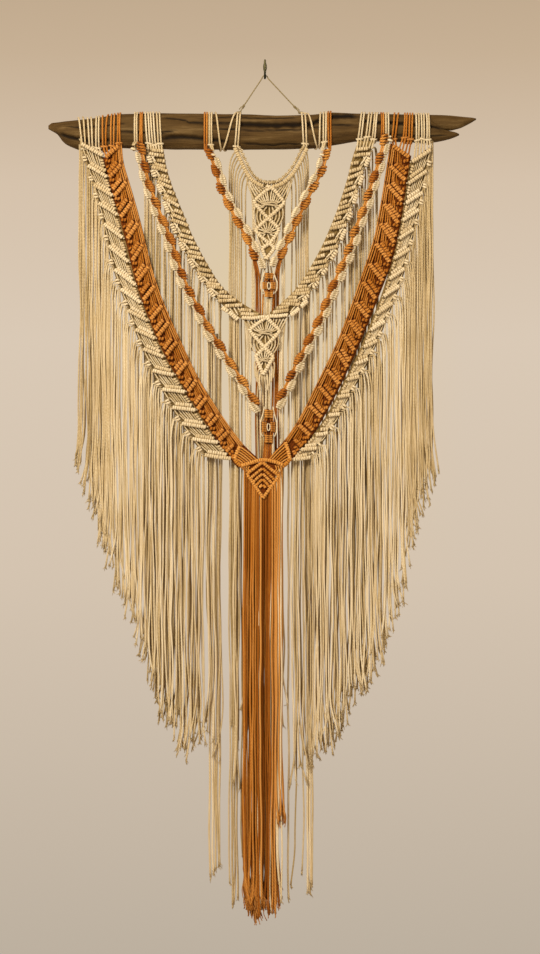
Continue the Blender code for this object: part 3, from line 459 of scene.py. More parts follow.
def placed(name, data):
    """A new object in the scene."""
    obj = bpy.data.objects.new(name, data)
    bpy.context.scene.collection.objects.link(obj)
    return obj


def piece_of(name, mesh, finish):
    """A smooth mesh as a piece that rides on the part."""
    mesh.polygons.foreach_set("use_smooth", np.ones(len(mesh.polygons), bool))
    mesh.materials.append(finish)
    obj = placed(name, mesh)
    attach(obj, "root")
    return obj


class Yarn:
    """Cords gathered into one mesh. Its maps hold the turns round a cord and the length along it, and a
    cord's tone and how much painted shade it gets where it meets its neighbours. A tone of two numbers is
    drawn between them."""

    def __init__(self, rng=None):
        self.rng = rng
        self.points, self.quads, self.ply, self.strand = [], [], [], []
        self.caps, self.cap_tones = [], []
        self.count = 0

    def drawn(self, tone):
        return self.rng.uniform(*tone) if isinstance(tone, tuple) else tone

    def tube(self, path, radius, sides=6, tone=0.5, side=FRONT, closed=False, crevice=0.35):
        """A cord along a path, with a tone and a strength of painted shade. side is where the plies' map
        starts round it, where the painted shade is least.
        """
        path = np.asarray(path, float)
        rings = len(path)
        radius, tone, crevice = (
            np.broadcast_to(np.asarray(values, float), rings)
            for values in (radius, self.drawn(tone), crevice)
        )
        if closed:
            along = unit(np.roll(path, -1, axis=0) - np.roll(path, 1, axis=0))
        else:
            along = unit(np.gradient(path, axis=0))
        side = np.broadcast_to(side, path.shape)
        up = side - along * np.sum(side * along, axis=1, keepdims=True)
        weak = np.linalg.norm(up, axis=1) < 0.15
        if weak.any():
            other = RIGHT - along * np.sum(RIGHT * along, axis=1, keepdims=True)
            up[weak] = other[weak]
        up = unit(up)
        flat = np.cross(along, up)
        angle = 2 * np.pi * np.arange(sides) / sides
        ring = up[:, None] * np.cos(angle)[None, :, None] + flat[:, None] * np.sin(angle)[None, :, None]
        self.points.append((path[:, None] + ring * radius[:, None, None]).reshape(-1, 3))
        i, k = np.meshgrid(np.arange(rings if closed else rings - 1), np.arange(sides), indexing="ij")
        after, k_after = (i + 1) % rings, (k + 1) % sides
        corners = [i * sides + k, i * sides + k_after, after * sides + k_after, after * sides + k]
        self.quads.append(self.count + np.stack(corners, axis=-1).reshape(-1, 4))
        run = lengths(np.vstack([path, path[:1]]) if closed else path)
        turn = [k / sides, (k + 1) / sides, (k + 1) / sides, k / sides]
        self.map_corners(self.ply, turn, [run[i], run[i], run[i + 1], run[i + 1]])
        self.map_corners(self.strand, *([v[i], v[i], v[after], v[after]] for v in (tone, crevice)))
        if not closed:
            last = (rings - 1) * sides
            self.caps += [[self.count + n for n in range(sides - 1, -1, -1)],
                          [self.count + last + n for n in range(sides)]]
            self.cap_tones += [tone[0], tone[-1]]
        self.count += rings * sides

    def map_corners(self, rows, first, second):
        """Adds two values for each corner of a tube's quads to a map's rows."""
        rows.append(np.stack([np.stack(first, axis=-1), np.stack(second, axis=-1)], axis=-1).reshape(-1, 2))

    def line(self, points, out, radius, spacing=4.0, **look):
        """A cord through (x, drop) points at a distance from the wall."""
        self.tube(in_front(points, out, spacing), radius, **look)

    def made(self, name, finish, slot):
        """The piece: one smooth mesh that rides on the part."""
        mesh = bpy.data.meshes.new(name)
        mesh.from_pydata(np.vstack(self.points) * MM, [], np.vstack(self.quads).tolist() + self.caps)
        ply = self.ply + [np.zeros((len(cap), 2)) for cap in self.caps]
        strand = self.strand + [
            np.tile([tone, 0.0], (len(cap), 1)) for cap, tone in zip(self.caps, self.cap_tones)
        ]
        for label, rows in (("Ply", ply), ("Strand", strand)):
            layer = mesh.uv_layers.new(name=label)
            layer.data.foreach_set("uv", np.vstack(rows).astype(np.float32).ravel())
        return piece_of(name, mesh, finish)


# Knots


def wraps(yarn, path, winding=PLAIN, tone=None, slope=0.0, swell=0.0, pairs=0.04, slit=None):
    """Turns of cord wound round a path, in pairs as double half hitches lie. slope leans the turns in front,
    swell makes the middle fatter than the ends, and slit is the angle from the front where the turns part,
    shown only by painted shade."""
    rng = yarn.rng
    tone = yarn.drawn(tone)
    path = smooth(path, 3.0)
    turns = max(1, round(lengths(path)[-1] / winding.pitch))
    t = np.linspace(0, turns, turns * 10 + 1)
    angle = 2 * np.pi * t
    share = (t + pairs * np.sin(np.pi * t) + 0.13 * np.sin(angle)) / turns
    middle = part_of(path, 0.0, 1.0, 60)
    run = np.linspace(0, 1, 60)
    centre = columns_at(share, run, middle)
    along = unit(columns_at(share, run, unit(np.gradient(middle, axis=0))))
    outward = unit(FRONT - along * np.sum(FRONT * along, axis=1, keepdims=True))
    level = np.cross(along, outward)
    fat = 1.0 + swell * (np.sin(np.pi * np.clip(share, 0, 1)) ** 0.7 - 0.6)
    uneven = np.interp(t, np.arange(turns + 1), rng.normal(1.0, 0.045, turns + 1))
    sideways = np.sin(angle)
    radial = -outward * np.cos(angle)[:, None] * winding.depth + level * sideways[:, None] * winding.across
    wound = centre + radial * (fat * uneven)[:, None] + along * (slope * sideways)[:, None]
    if tone is None:
        tone = rng.uniform(0.15, 0.7, turns // 2 + 2)[(t / 2).astype(int)]
    # Painted shade on the back and sides of each turn, and in the slit where the turns part.
    turn_shade = (0.5 + 0.5 * np.cos(angle)) ** 1.9
    if slit is not None:
        turn_shade = np.maximum(turn_shade, 1.35 * np.clip(np.cos(angle - math.pi + slit), 0, 1) ** 4)
    yarn.tube(wound, winding.cord, tone=tone, side=radial,
              crevice=winding.crease + (0.95 - winding.crease) * turn_shade)
    # A core inside the turns, painted dark as shade.
    inside = part_of(path, 0.0, 1.0, max(3, turns // 2 + 2))
    yarn.tube(inside, min(winding.across, winding.depth) * 0.85, tone=0.1, crevice=1.5)


def hitched(yarn, points, out, winding=PLAIN, tone=None):
    """A hitched bar through (x, drop) points, each with a lift if it has a third number."""
    wraps(yarn, in_front(points, out), winding, tone)


def coil(yarn, start, end, winding=COIL, tone=None):
    """A short stack of turns, such as a band's edge has beside each bar."""
    wraps(yarn, [start, (start + end) / 2 + FRONT * 0.5, end], winding, tone, pairs=0.0)


def straight(yarn, start, end, radius=CORD, bulge=(0, 0, 0), tone=None):
    """A short open cord, bowed by bulge in its middle."""
    tone = yarn.drawn(tone)
    middle = (start + end) / 2 + np.asarray(bulge, float) + yarn.rng.normal(0, 0.3, 3)
    path = smooth([start, middle, end], 3.0)
    # Painted shade near both ends, where the cord runs in under the bars.
    shade_near_ends = 0.45 + 0.75 * np.abs(np.linspace(-1, 1, len(path))) ** 4
    yarn.tube(path, radius, tone=(0.3, 0.75) if tone is None else tone, crevice=shade_near_ends)


def knot_lump(yarn, centre, size, tone):
    """A small round knot: two turns of cord crossed over each other."""
    angle = np.linspace(0, 2 * np.pi, 9)[:-1]
    for turn in (0, 1):
        lean_x, lean_z = yarn.rng.uniform(-0.4, 0.4, 2)
        axis_a = unit(np.array([1.0, 0.2 * turn, lean_z]))
        axis_b = unit(np.cross(axis_a, unit(np.array([lean_x, 0.6 - 1.2 * turn, 1.0]))))
        ring = centre + (axis_a * np.cos(angle)[:, None] + axis_b * np.sin(angle)[:, None]) * size * 0.55
        yarn.tube(ring, size * 0.5, tone=tone, closed=True, side=unit(ring - centre), crevice=0.8)


def frayed_end(yarn, tip, direction, tone):
    """The brush of loose fibres at a cord's cut end."""
    rng = yarn.rng
    for _ in range(FRAY_FIBRES):
        way = unit(direction + rng.normal(0, FRAY_SPREAD, 3) * np.array([1, 0.6, 0.35]))
        reach = FRAY_LENGTH * rng.uniform(0.5, 1.1)
        start = tip + rng.normal(0, 0.7, 3)
        bend = rng.normal(0, 0.8, 3)
        path = [start, start + way * reach * 0.5 + bend, start + way * reach + 2 * bend]
        yarn.tube(path, [0.9, 0.7, 0.25], sides=4, tone=tone)


def hanging(yarn, start, x, hem, out, drop_in=30.0, radius=CORD, tone=None, tip=None, sway=2.2, fray=True,
            shadow=9.0):
    """A strand that leaves a knot along start's points, comes to hang at x and out, and ends at the hem,
    where its tip stands off by tip. Its top has painted shade for about the length shadow."""
    rng = yarn.rng
    path = [np.asarray(p, float) for p in start]
    tone = rng.uniform(0.2, 0.95) if tone is None else tone
    tip = rng.normal(0, 8) if tip is None else tip
    low = -path[-1][2] + drop_in
    phase = rng.uniform(0, 2 * np.pi, 3)
    wave = rng.uniform(45, 80)
    for drop in np.arange(low, hem - 22.0, 40.0):
        share = (drop - low) / max(1.0, hem - low)
        reach = sway * (0.2 + share) * math.sin(phase[0] + drop / wave) + 0.5 * math.sin(phase[1] + drop / 24)
        reach += tip * max(0.0, 1 - (hem - drop) / 90) ** 2 * 0.8
        path.append(at(x + reach, drop, out + 0.8 * math.sin(phase[2] + drop / wave)))
    path.append(at(x + tip, hem, out + rng.normal(0, 1.5)))
    curve = smooth(path, 14.0)
    radii = np.full(len(curve), radius)
    radii[-1] *= 1.2
    yarn.tube(curve, radii, tone=tone, crevice=0.35 + 0.8 * np.exp(-lengths(curve) / shadow))
    if fray:
        frayed_end(yarn, curve[-1], unit(curve[-1] - curve[-2]), min(tone, 0.35))
    return curve


# Cords over the branch


def branch_row(x):
    """Top, bottom and half depth of the branch's body at x."""
    rows = np.array(BRANCH, float)
    return columns_at([x], rows[:, 0], rows[:, 1:])[0]


def wrap_point(x, angle, lift):
    """A point round the branch, at an angle from its top down the front."""
    top, bottom, half_depth = branch_row(x)
    half_height = (bottom - top) / 2 + lift
    return at(x, (top + bottom) / 2 - half_height * math.cos(angle),
              BRANCH_OUT + (half_depth + lift) * math.sin(angle))


def wrapped_pair(yarn, pair, roll_angle=ROLL_ANGLE):
    """Two cords right round the branch, lowest in front at the roll's angle."""
    for top_x, low_x in zip(pair[:2], pair[2:4]):
        path, sides = [], []
        bow = yarn.rng.normal(0, 0.5)
        for angle in roll_angle - 2 * math.pi * np.arange(WRAP_STEPS) / WRAP_STEPS:
            if angle >= 0:
                share = (roll_angle - angle) / roll_angle
            else:
                share = 1 + angle / (2 * math.pi - roll_angle)
            x = low_x + (top_x - low_x) * share + bow * math.sin(math.pi * share)
            path.append(wrap_point(x, angle, CORD + 0.4 + pair[4]))
            sides.append(FRONT * math.sin(angle) + UP * math.cos(angle))
        yarn.tube(path, CORD - 0.15, sides=8, tone=(0.45, 0.85), side=np.array(sides), closed=True)


def lark_head(yarn, pair, ends, roll=True):
    """Two cords over the branch, the small roll that holds them in front, and their ends down to the first
    knots."""
    rng = yarn.rng
    wrapped_pair(yarn, pair)
    _, _, low_a, low_b, slack = pair
    middle = wrap_point((low_a + low_b) / 2, ROLL_ANGLE, CORD + 1.8 + slack)
    tilt = rng.normal(0, 0.6)
    if roll:
        middle = middle + UP * rng.normal(0, 1.8)
        left, right = low_a - 2.8, low_b + 2.8
        drop, out = -middle[2], -middle[1]
        shape = [
            at(left, drop - 0.6 + tilt, out - 4.5), at(left + 0.8, drop + tilt, out), middle + FRONT * 1.6,
            at(right - 0.8, drop - tilt, out), at(right, drop - 0.6 - tilt, out - 4.5),
        ]
        yarn.tube(smooth(shape, 1.5), 2.05, sides=8, tone=1.0, crevice=0.8)
    for low_x, end in zip((low_a, low_b), ends):
        start = at(low_x, -middle[2] - 3, -middle[1] - 1.5)
        yarn.tube(smooth([start, (start + end) / 2 + FRONT, end], 4.0), CORD, tone=(0.4, 0.8), crevice=0.7)


# Bands


class Band:
    """A knotted band between an inner and an outer edge. Its groups start at marks, drops at the share edge
    of its width. A place in a group is s, its share of the way to the next group, and w, from the inner to
    the outer edge."""

    def __init__(self, yarn, rows, marks, edge):
        self.yarn = yarn
        rows, marks = np.array(rows, float), np.array(marks, float)
        fine = np.linspace(0, 1, 160)
        share = np.linspace(0, 1, len(rows))
        columns = []
        for column in rows.T:
            line = smooth(np.column_stack([share * 100, column, np.zeros(len(rows))]), 0.8)
            columns.append(np.interp(fine * 100, line[:, 0], line[:, 1]))
        self.rows = np.array(columns).T
        middle = (self.rows[:, :2] + self.rows[:, 2:]) / 2
        run = lengths(middle)
        self.long = run[-1]
        self.share = run / run[-1]
        drops = self.rows[:, 1] + (self.rows[:, 3] - self.rows[:, 1]) * edge
        past = np.minimum(0.0, marks - drops[0]) + np.maximum(0.0, marks - drops[-1])
        starts = np.interp(marks, drops, self.share) + past / self.long
        self.starts = np.append(starts, 2 * starts[-1] - starts[-2])
        self.groups = len(marks)

    def at(self, s, w, lift=0.0):
        inner_x, inner_drop, outer_x, outer_drop = columns_at([s], self.share, self.rows)[0]
        past = (s - min(1.0, max(0.0, s))) * self.long
        drop = inner_drop + (outer_drop - inner_drop) * w + past
        return at(inner_x + (outer_x - inner_x) * w, drop, BAND_OUT + lift + lean(drop))

    def local(self, group, s, w, lift=0.0):
        first, second = self.starts[group], self.starts[group + 1]
        return self.at(first + s * (second - first), w, lift)

    def bar(self, group, outer, inner, lift, winding=PLAIN, tone=None):
        """A hitched bar between two places, each s and w."""
        rng = self.yarn.rng
        tone = self.yarn.drawn(tone)
        start = self.local(group, *outer, lift) + rng.normal(0, 0.5, 3)
        end = self.local(group, *inner, lift) + rng.normal(0, 0.4, 3)
        sag = (start + end) / 2 + FRONT * 0.8 + rng.normal(0, 0.4, 3)
        wraps(self.yarn, [start, sag, end], winding, tone)

    def cord(self, group, high, low, lift, bulge=0.6, **look):
        """An open cord between two places."""
        start, end = self.local(group, *high, lift), self.local(group, *low, lift)
        straight(self.yarn, start, end, bulge=FRONT * bulge, **look)

    def coil(self, group, high, low, lift, winding=COIL, tone=None):
        coil(self.yarn, self.local(group, *high, lift), self.local(group, *low, lift), winding, tone)

    def backing(self, widths, lift, radius):
        """The cords that are carried along behind the knots, dark in front, where the darkness is painted
        shade, and light at the back.
        """
        along = np.linspace(0.0, 1.0, 50)
        for w in widths:
            self.yarn.tube([self.at(s, w, lift) for s in along], radius, tone=0.0, crevice=1.5)
        for k, w in enumerate(np.linspace(widths[0], widths[-1], 2 * len(widths) - 1)):
            path = [
                self.at(s, w, lift - radius + 0.9 + 0.8 * math.sin(1.7 * k + 0.5 * n))
                for n, s in enumerate(along)
            ]
            self.yarn.tube(path, 2.1, tone=0.25 + 0.6 * ((7 * k) % 5) / 4, crevice=0.4, side=-FRONT)

    def lark_heads(self, pairs, outward, s=-0.05):
        """The pairs of cords on the branch that carry the band, spread over its first group."""
        spread = np.linspace(0.08, 0.92, 2 * len(pairs))[::outward]
        for number, pair in enumerate(pairs):
            lark_head(self.yarn, pair, [self.local(0, s, w) for w in spread[2 * number:2 * number + 2]])

def strands_from(yarn, band, group, hem_rows, layer_out, offsets, outward, shade=None):
    """The strands that leave the outer edge of one group, the first the furthest out. shade, if given, is a
    range of darker tones, painted shade for strands further back.
    """
    rng = yarn.rng
    tuft = rng.normal(0, 9)
    tuft_lean = outward * rng.normal(3, 4)
    hem_xs, hem_drops = np.array(sorted(hem_rows), float).T
    for number, offset in enumerate(offsets):
        s = -0.35 + 0.40 * number / max(1, len(offsets) - 1)
        root = band.local(group, s, 0.90, -1.5)
        edge = band.local(group, s, 1.0, -0.5)
        x = edge[0] + outward * offset + rng.normal(0, 0.9)
        hem = np.interp(x, hem_xs, hem_drops) + tuft + rng.normal(0, 12) - abs(rng.normal(0, 9))
        high = at(0.35 * edge[0] + 0.65 * x, -edge[2] - 1 + 0.2 * abs(offset), layer_out + 3.0)
        low = at(x, -edge[2] + 17 + 0.8 * abs(offset), layer_out + rng.uniform(-1.0, 2.5))
        if shade is None:
            tone = rng.uniform(0.3, 1.1) * min(1.0, 0.10 - edge[2] / 520)
        else:
            tone = rng.uniform(*shade)
        tip = tuft_lean + rng.normal(0, 4)
        hanging(yarn, [root, edge + FRONT * 0.5, high, low], x, hem, layer_out + rng.uniform(-1.6, 1.6),
                drop_in=16.0, tone=tone, tip=tip, sway=2.6, radius=1.5, shadow=13.0)


def make_outer_band(side, rows, marks, pairs, hem_rows, outward, cotton, seed):
    rng = np.random.default_rng(seed)
    knots, fringe = Yarn(rng), Yarn(rng)
    band = Band(knots, rows, marks, 0.93)
    band.lark_heads(pairs, outward)
    band.backing((-0.08, 0.12, 0.32, 0.52, 0.72, 0.90), -7.0, 3.5)
    for group in range(band.groups):
        band.bar(group, (0.0, 0.95), (0.0, -0.01), 1.8, OUTER_LONG, tone=(0.6, 0.95))
        knot_lump(knots, band.local(group, -0.04, -0.09, 1.2), 1.7, tone=1.0)
        if group:
            band.coil(group, (-0.46, 1.0), (-0.20, 0.99), 0.8, tone=0.85)
        offsets = FRINGE_OFFSETS[group]
        strands_from(fringe, band, group, hem_rows, FRINGE_OUT, offsets, outward)
        # Strands further back between them, darker: painted shade.
        between_them = [offset + 1.8 for offset in offsets[:3]]
        strands_from(fringe, band, group, hem_rows, FRINGE_OUT - 4.0, between_them, outward,
                     shade=(0.1, 0.55))
        if group == band.groups - 1:
            break
        band.bar(group, (0.76, 0.72), (0.76, 0.03), 1.5, OUTER_SHORT, tone=(0.5, 0.85))
        for high, low in OUTER_OPEN_CORDS:
            band.cord(group, (0.06, high), low, -2.2, bulge=0.3, radius=1.1, tone=(0.45, 0.85))
        band.coil(group, (0.22, 0.09), (0.58, 0.05), -1.2, THIN_COIL, tone=0.5)
        band.cord(group, (0.40, 0.82), (0.96, 0.66), -1.8, bulge=0.2, radius=1.2, tone=0.7)
        band.cord(group, (0.10, 0.92), (0.55, 0.88), -1.2, bulge=0.2, radius=1.2, tone=0.6)
    for yarn, name in ((knots, f"cream_band_{side}"), (fringe, f"fringe_{side}")):
        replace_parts(yarn.made(name, cotton, "cream_cotton"), f"outer_band_{side}")


def make_rust_bands(cotton):
    rng = np.random.default_rng(21)
    knots = Yarn(rng)
    for rows, marks, pairs, outward in RUST_BANDS:
        band = Band(knots, rows, marks, 0.04)
        band.lark_heads(pairs, outward)
        band.backing((0.02, 0.18, 0.34, 0.50, 0.66, 0.82, 0.98), -6.4, 3.6)
        for group in range(band.groups - 1):
            # The bars get light tones and the open cords behind them darker ones: painted light and shade.
            band.bar(group, (0.04, 0.96), (0.0, 0.10), 2.0, RUST_LONG, tone=(0.75, 1.0))
            if group:
                band.bar(group, (-0.24, 0.94), (-0.29, 0.32), 1.0, RUST_SHORT, tone=(0.55, 0.95))
            if group == band.groups - 2:
                band.bar(group, (0.72, 0.94), (0.68, 0.36), 1.0, tone=0.7)
            band.coil(group, (0.16, 0.98), (0.38, 0.70), 0.8, THIN_COIL, tone=(0.3, 0.6))
            band.coil(group, (0.42, 1.0), (0.60, 0.84), 0.6, THIN_COIL, tone=(0.3, 0.7))
            for w in (-0.04, 0.06, 0.16):
                band.cord(group, (-0.02, w), (0.99, w + 0.01), -0.4, bulge=0.9, radius=1.3, tone=(0.6, 1.0))
            for high, low in RUST_OPEN_CORDS:
                band.cord(group, high, low, -2.0, bulge=0.4, radius=1.45, tone=(0.15, 0.65))
        for s, near in ((-0.22, 0.50), (0.02, 0.62), (0.26, 0.74)):
            band.bar(band.groups - 1, (s, 1.0), (s - 0.10, near), 0.6, RUST_LAST, tone=(0.4, 0.8))
    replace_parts(knots.made("rust_bands", cotton, "rust_cotton"), "rust_band")


def make_leaf(cotton):
    yarn = Yarn(np.random.default_rng(31))
    out = BAND_OUT + 3.0
    hitched(yarn, LEAF_ARC, out + 1.8, LEAF_ARC_BAR, tone=0.8)
    for rim in (LEAF_RIM_LEFT, LEAF_RIM_RIGHT):
        hitched(yarn, rim, out + 0.8, LEAF_RIM, tone=0.75)
    for row in LEAF_ROWS:
        hitched(yarn, row, out + 0.4, LEAF_ROW, tone=(0.45, 0.85))
    # Dark cords behind the leaf's rows: painted shade.
    for drop in np.arange(698.0, 753.0, 3.4):
        left = np.interp(drop, [699, 716, 757], [-38, -30, -5])
        right = np.interp(drop, [699, 719, 757], [28, 22, -3])
        yarn.line([(left, drop), (right, drop)], out - 4.5, 2.6, 8.0, tone=0.0, crevice=1.6)
    for corner in LEAF_CORNERS:
        hitched(yarn, corner, out - 0.5, LEAF_CORNER, tone=0.5)
    for spans in np.array(LEAF_ARMS, float):
        top, foot, near, far = spans
        for share in np.linspace(0.04, 0.92, 6):
            start, end = top + (foot - top) * share, near + (far - near) * share
            route = [start, (start + end) / 2 + (0.0, -1.2), end]
            yarn.line(route, out - 1.5, 1.5, tone=(0.45, 0.95), crevice=0.7)
            # A dark cord under each: painted shade.
            yarn.line(route, out - 4.5, 3.0, 8.0, tone=0.0, crevice=1.5)
        hitched(yarn, [foot, (top + foot) / 2 + (0.8 * np.sign(top[0]), 0.0), top], out - 0.2, LEAF_ARM,
                tone=0.85)
    for k in range(3):
        for inward, drop, high, turn, low in ((1, 702, -35, -38, -31), (-1, 701, 26, 29, 23)):
            route = [(high + inward * 4 * k, drop), (turn + inward * 4.2 * k, 707),
                     (low + inward * 2.5 * k, 714 - 2 * k)]
            yarn.line(route, out - 0.6, 1.4, tone=0.75, crevice=0.5)
    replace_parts(yarn.made("leaf", cotton, "rust_cotton"), "rust_band")


def tassel_top(x):
    """The drop of the leaf's lower border at x."""
    return float(np.interp(x, [-37, -30.5, -14.5, -3.3, 7, 23.5, 30], [706, 716, 741, 757, 743, 719, 706]))


def make_tassel(cotton, cream):
    rng = np.random.default_rng(33)
    yarn, pale = Yarn(rng), Yarn(rng)
    for layer, (out, count) in enumerate(TASSEL_LAYERS):
        for k in range(count):
            side = 2 * k / (count - 1) - 1
            x_top = -3.0 + side * 32 + rng.normal(0, 0.7)
            x_low = -4.0 + side * 33 + rng.normal(0, 0.9)
            if layer and -5 < x_low < 6 and rng.random() < 0.45:
                continue
            if layer == 2 and rng.random() < 0.2:
                continue
            tone = rng.uniform(0.4, 1.0) if rng.random() < 0.68 else rng.uniform(0.0, 0.15)
            # The back layer is all dark: painted shade behind the strands.
            tone = tone if layer else 0.0
            if layer and 10 < x_low < 22:
                tone = rng.uniform(0.75, 1.0)
            end = TASSEL_END - 14 - 30 * rng.random()
            tip = rng.normal(0, 3)
            if side > 0.72:
                end = 1326 - 16 * rng.random() if layer else 1316
                tone, tip = rng.uniform(0.7, 1.0), rng.uniform(2, 7)
            elif side < -0.2:
                tip = rng.uniform(-6, 14)
                end = TASSEL_END + 8 - 36 * rng.random() + 12 * side
            elif side > 0.3:
                end = TASSEL_END - 4 - 24 * rng.random()
            root = at(x_top, tassel_top(x_top) - 3, min(max(out, BAND_OUT), BAND_OUT + 4.0))
            low_out, radius = out + rng.uniform(-1, 1), rng.uniform(1.5, 1.95) if layer else 2.3
            curve = hanging(yarn, [root, at(0.5 * (x_top + x_low), 860, out)], x_low, end, low_out, tip=tip,
                            tone=tone, sway=1.3, drop_in=60.0, radius=radius, fray=False)
            loose, first, spread = 5, 0.985, 1.2
            if side < -0.15:
                loose, first, spread = 9, 0.90, 4.5
            elif side > 0.72:
                loose, first, spread = 8, 0.94, 1.6
            for _ in range(loose):
                path = part_of(curve, first + (1 - first) * 0.5 * rng.random(), 1.0, 6)
                path += np.linspace(0, 1, 6)[:, None] * [rng.normal(0, spread), rng.normal(0, 1.5),
                                                         rng.normal(-3, 4)]
                path[:, 0] += min(1.5, 20 * (1 - first)) * np.sin(2.3 * np.arange(6) + tip)
                yarn.tube(smooth(path, 6.0), 0.7, sides=4, tone=(0.3, 0.95), crevice=0.1)
    for x, end in ((-11, 1474), (9.5, 1480), (21.5, 1430), (24, 1450), (28, 1462)):
        root = at(x * 0.9, tassel_top(x) - 3, BAND_OUT + 2.0)
        out = TASSEL_OUT + 2.0 + rng.uniform(-1, 1)
        hanging(pale, [root], x, end, out, tip=rng.normal(0, 3), tone=0.8, sway=1.4)
    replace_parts(yarn.made("tassel", cotton, "rust_cotton"), "rust_band")
    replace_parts(pale.made("tassel_cream", cream, "cream_cotton"), "rust_band")


# Diamonds


def rayed_knot(yarn, diamond, out, middle, half, rise, upper, lower):
    """A wide square knot inside a diamond, its cords fanned out to the diamond's bars."""
    top, left, right, bottom = np.array(diamond, float)
    x, drop = middle
    for row in (-0.62, 0.62):
        level = drop + row * rise
        ends = [(x - half, level + 1.6 + row, -1.2), (x + half, level + 1.6 - row, -1.2)]
        inner = [(x - half * 0.45, level - 0.6 - row, 1.6), (x + half * 0.45, level - 0.6 + row, 1.6)]
        yarn.line([ends[0], *inner, ends[1]], out, 1.9, 2.0, sides=8, tone=0.95, crevice=1.0)
    for count, apex, start_drop, up in ((upper, top, drop - rise * 1.3, -1),
                                        (lower, bottom, drop + rise * 1.6, 1)):
        for k in range(count):
            side = 2 * k / (count - 1) - 1
            corner = left if side < 0 else right
            start = at(x + side * half * 0.92, start_drop + (1.6 if up < 0 else -1.0) * abs(side), out - 0.6)
            reach = apex + (corner - apex) * (0.10 + 0.72 * abs(side))
            end = at(reach[0], reach[1] - up * 1.5, out - 0.8)
            for point in (start, end):
                point[1] -= lean(-point[2])
            straight(yarn, start, end, radius=1.3, bulge=(side * 1.6, -0.9, 0), tone=(0.5, 0.95))


def bows(yarn, side_above, crossing, side_below, out, count, outward, bulge):
    """The cords that bow outward beside a crossing, from the bar above it to the bar below."""
    above, cross, below = np.array([side_above, crossing, side_below], float)
    for k in range(count):
        share = 0.10 + 0.66 * k / max(1, count - 1)
        start, end = above + (cross - above) * share, below + (cross - below) * share
        middle = (start + end) / 2 + (outward * bulge * (1 - 0.75 * share), 0.0)
        yarn.line([start, middle, end], out - 1.2, 1.4, 3.0, tone=(0.4, 0.85), crevice=0.7)


def fan(yarn, starts, ends, out, bulge=0.0):
    """Cords from a row of places to another."""
    for start, end in zip(starts, ends):
        middle = ((start[0] + end[0]) / 2 + bulge, (start[1] + end[1]) / 2)
        yarn.line([start, middle, end], out, 1.45, 3.0, tone=(0.4, 0.85), crevice=0.7)


def behind(yarn, widths, count, out):
    """The cords behind a column of diamonds, painted dark as its shade, with lighter ones behind them: the
    column's left and right x at some drops.
    """
    for share in np.linspace(0, 1, count):
        line = in_front([(left + (right - left) * share, drop) for drop, left, right in widths], out, 8.0)
        yarn.tube(line, 3.4, tone=0.0, crevice=1.5)
        yarn.tube(line - FRONT * 2.4, 2.0, tone=0.3 + 0.5 * math.sin(9 * share) ** 2, crevice=0.4,
                  side=-FRONT)


def centre_strands(yarn, foot, out, count, end):
    """Strands that hang on from a column's last diamond."""
    x, drop = foot
    for k in range(count):
        side = 2 * k / (count - 1) - 1
        root = at(x + side * 3.5, drop - 2, BAND_OUT)
        low_out = out + yarn.rng.uniform(-1, 1)
        hanging(yarn, [root], x + side * 10, end - 12 * k, low_out, tip=yarn.rng.normal(0, 3), sway=1.2)


def make_chevron_band(cotton):
    rng = np.random.default_rng(41)
    knots, curtain = Yarn(rng), Yarn(rng)
    for rows, marks, pairs, hem_rows, outward in CHEVRON_BANDS:
        band = Band(knots, rows, marks, 0.0)
        band.lark_heads(pairs, outward, s=-0.3)
        band.backing((0.08, 0.26, 0.46, 0.66, 0.84), -6.2, 3.3)
        band.bar(0, (-0.31, 0.72), (-0.31, 0.0), 0.5, CHEVRON)
        low_hem = [(x, drop - 8) for x, drop in hem_rows]
        for group in range(band.groups):
            band.bar(group, (0.0, 0.97), (0.0, 0.0), 1.3, CHEVRON)
            strands_from(curtain, band, group, low_hem, CURTAIN_OUT, (7, 2.5, -2), outward)
            # Strands further back, darker: painted shade.
            strands_from(curtain, band, group, low_hem, CURTAIN_OUT - 3.5, (5, -3), outward,
                         shade=(0.1, 0.55))
            if group == band.groups - 1:
                break
            band.bar(group, (0.36, 0.46), (0.36, 0.0), 1.0, CHEVRON)
            band.bar(group, (0.69, 0.74), (0.69, 0.0), 1.1, CHEVRON)
            band.coil(group, (0.20, 1.02), (0.68, 0.96), 1.2, tone=0.85)
            band.cord(group, (0.06, 0.60), (0.42, 0.86), 0.2, tone=0.9, radius=1.5)
            band.cord(group, (0.06, 0.82), (0.52, 0.60), 1.2, tone=0.9, radius=1.5)
            for w in (0.62, 0.74):
                band.cord(group, (0.40, w), (0.68, w - 0.04), -1.0, radius=1.5)
            band.cord(group, (0.70, 0.84), (1.0, 0.80), -0.6, radius=1.5)
    make_chevron_column(knots)
    for x in (-33.5, -30.5, -27.5, 28, 31, 34):
        starts = [at(x * 1.02, 452, BAND_OUT - 2), at(x * 0.97, 470, BAND_OUT - 5)]
        hanging(curtain, starts, x * 0.93, TASSEL_END - 12 * abs(x), CURTAIN_OUT + 2)
    for x in (-53.2, -50, -46.6, 48, 52, 54.6, 58.6):
        hem, out = 1262 + rng.normal(0, 12), CURTAIN_OUT + rng.uniform(-1, 2)
        hanging(curtain, [at(x * 0.98, 424, BAND_OUT - 6)], x, hem, out)
    centre_strands(curtain, (-3, 542), CURTAIN_OUT, 5, TASSEL_END - 20)
    for yarn, name in ((knots, "chevron_knots"), (curtain, "curtain")):
        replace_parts(yarn.made(name, cotton, "cream_cotton"), "chevron_band")


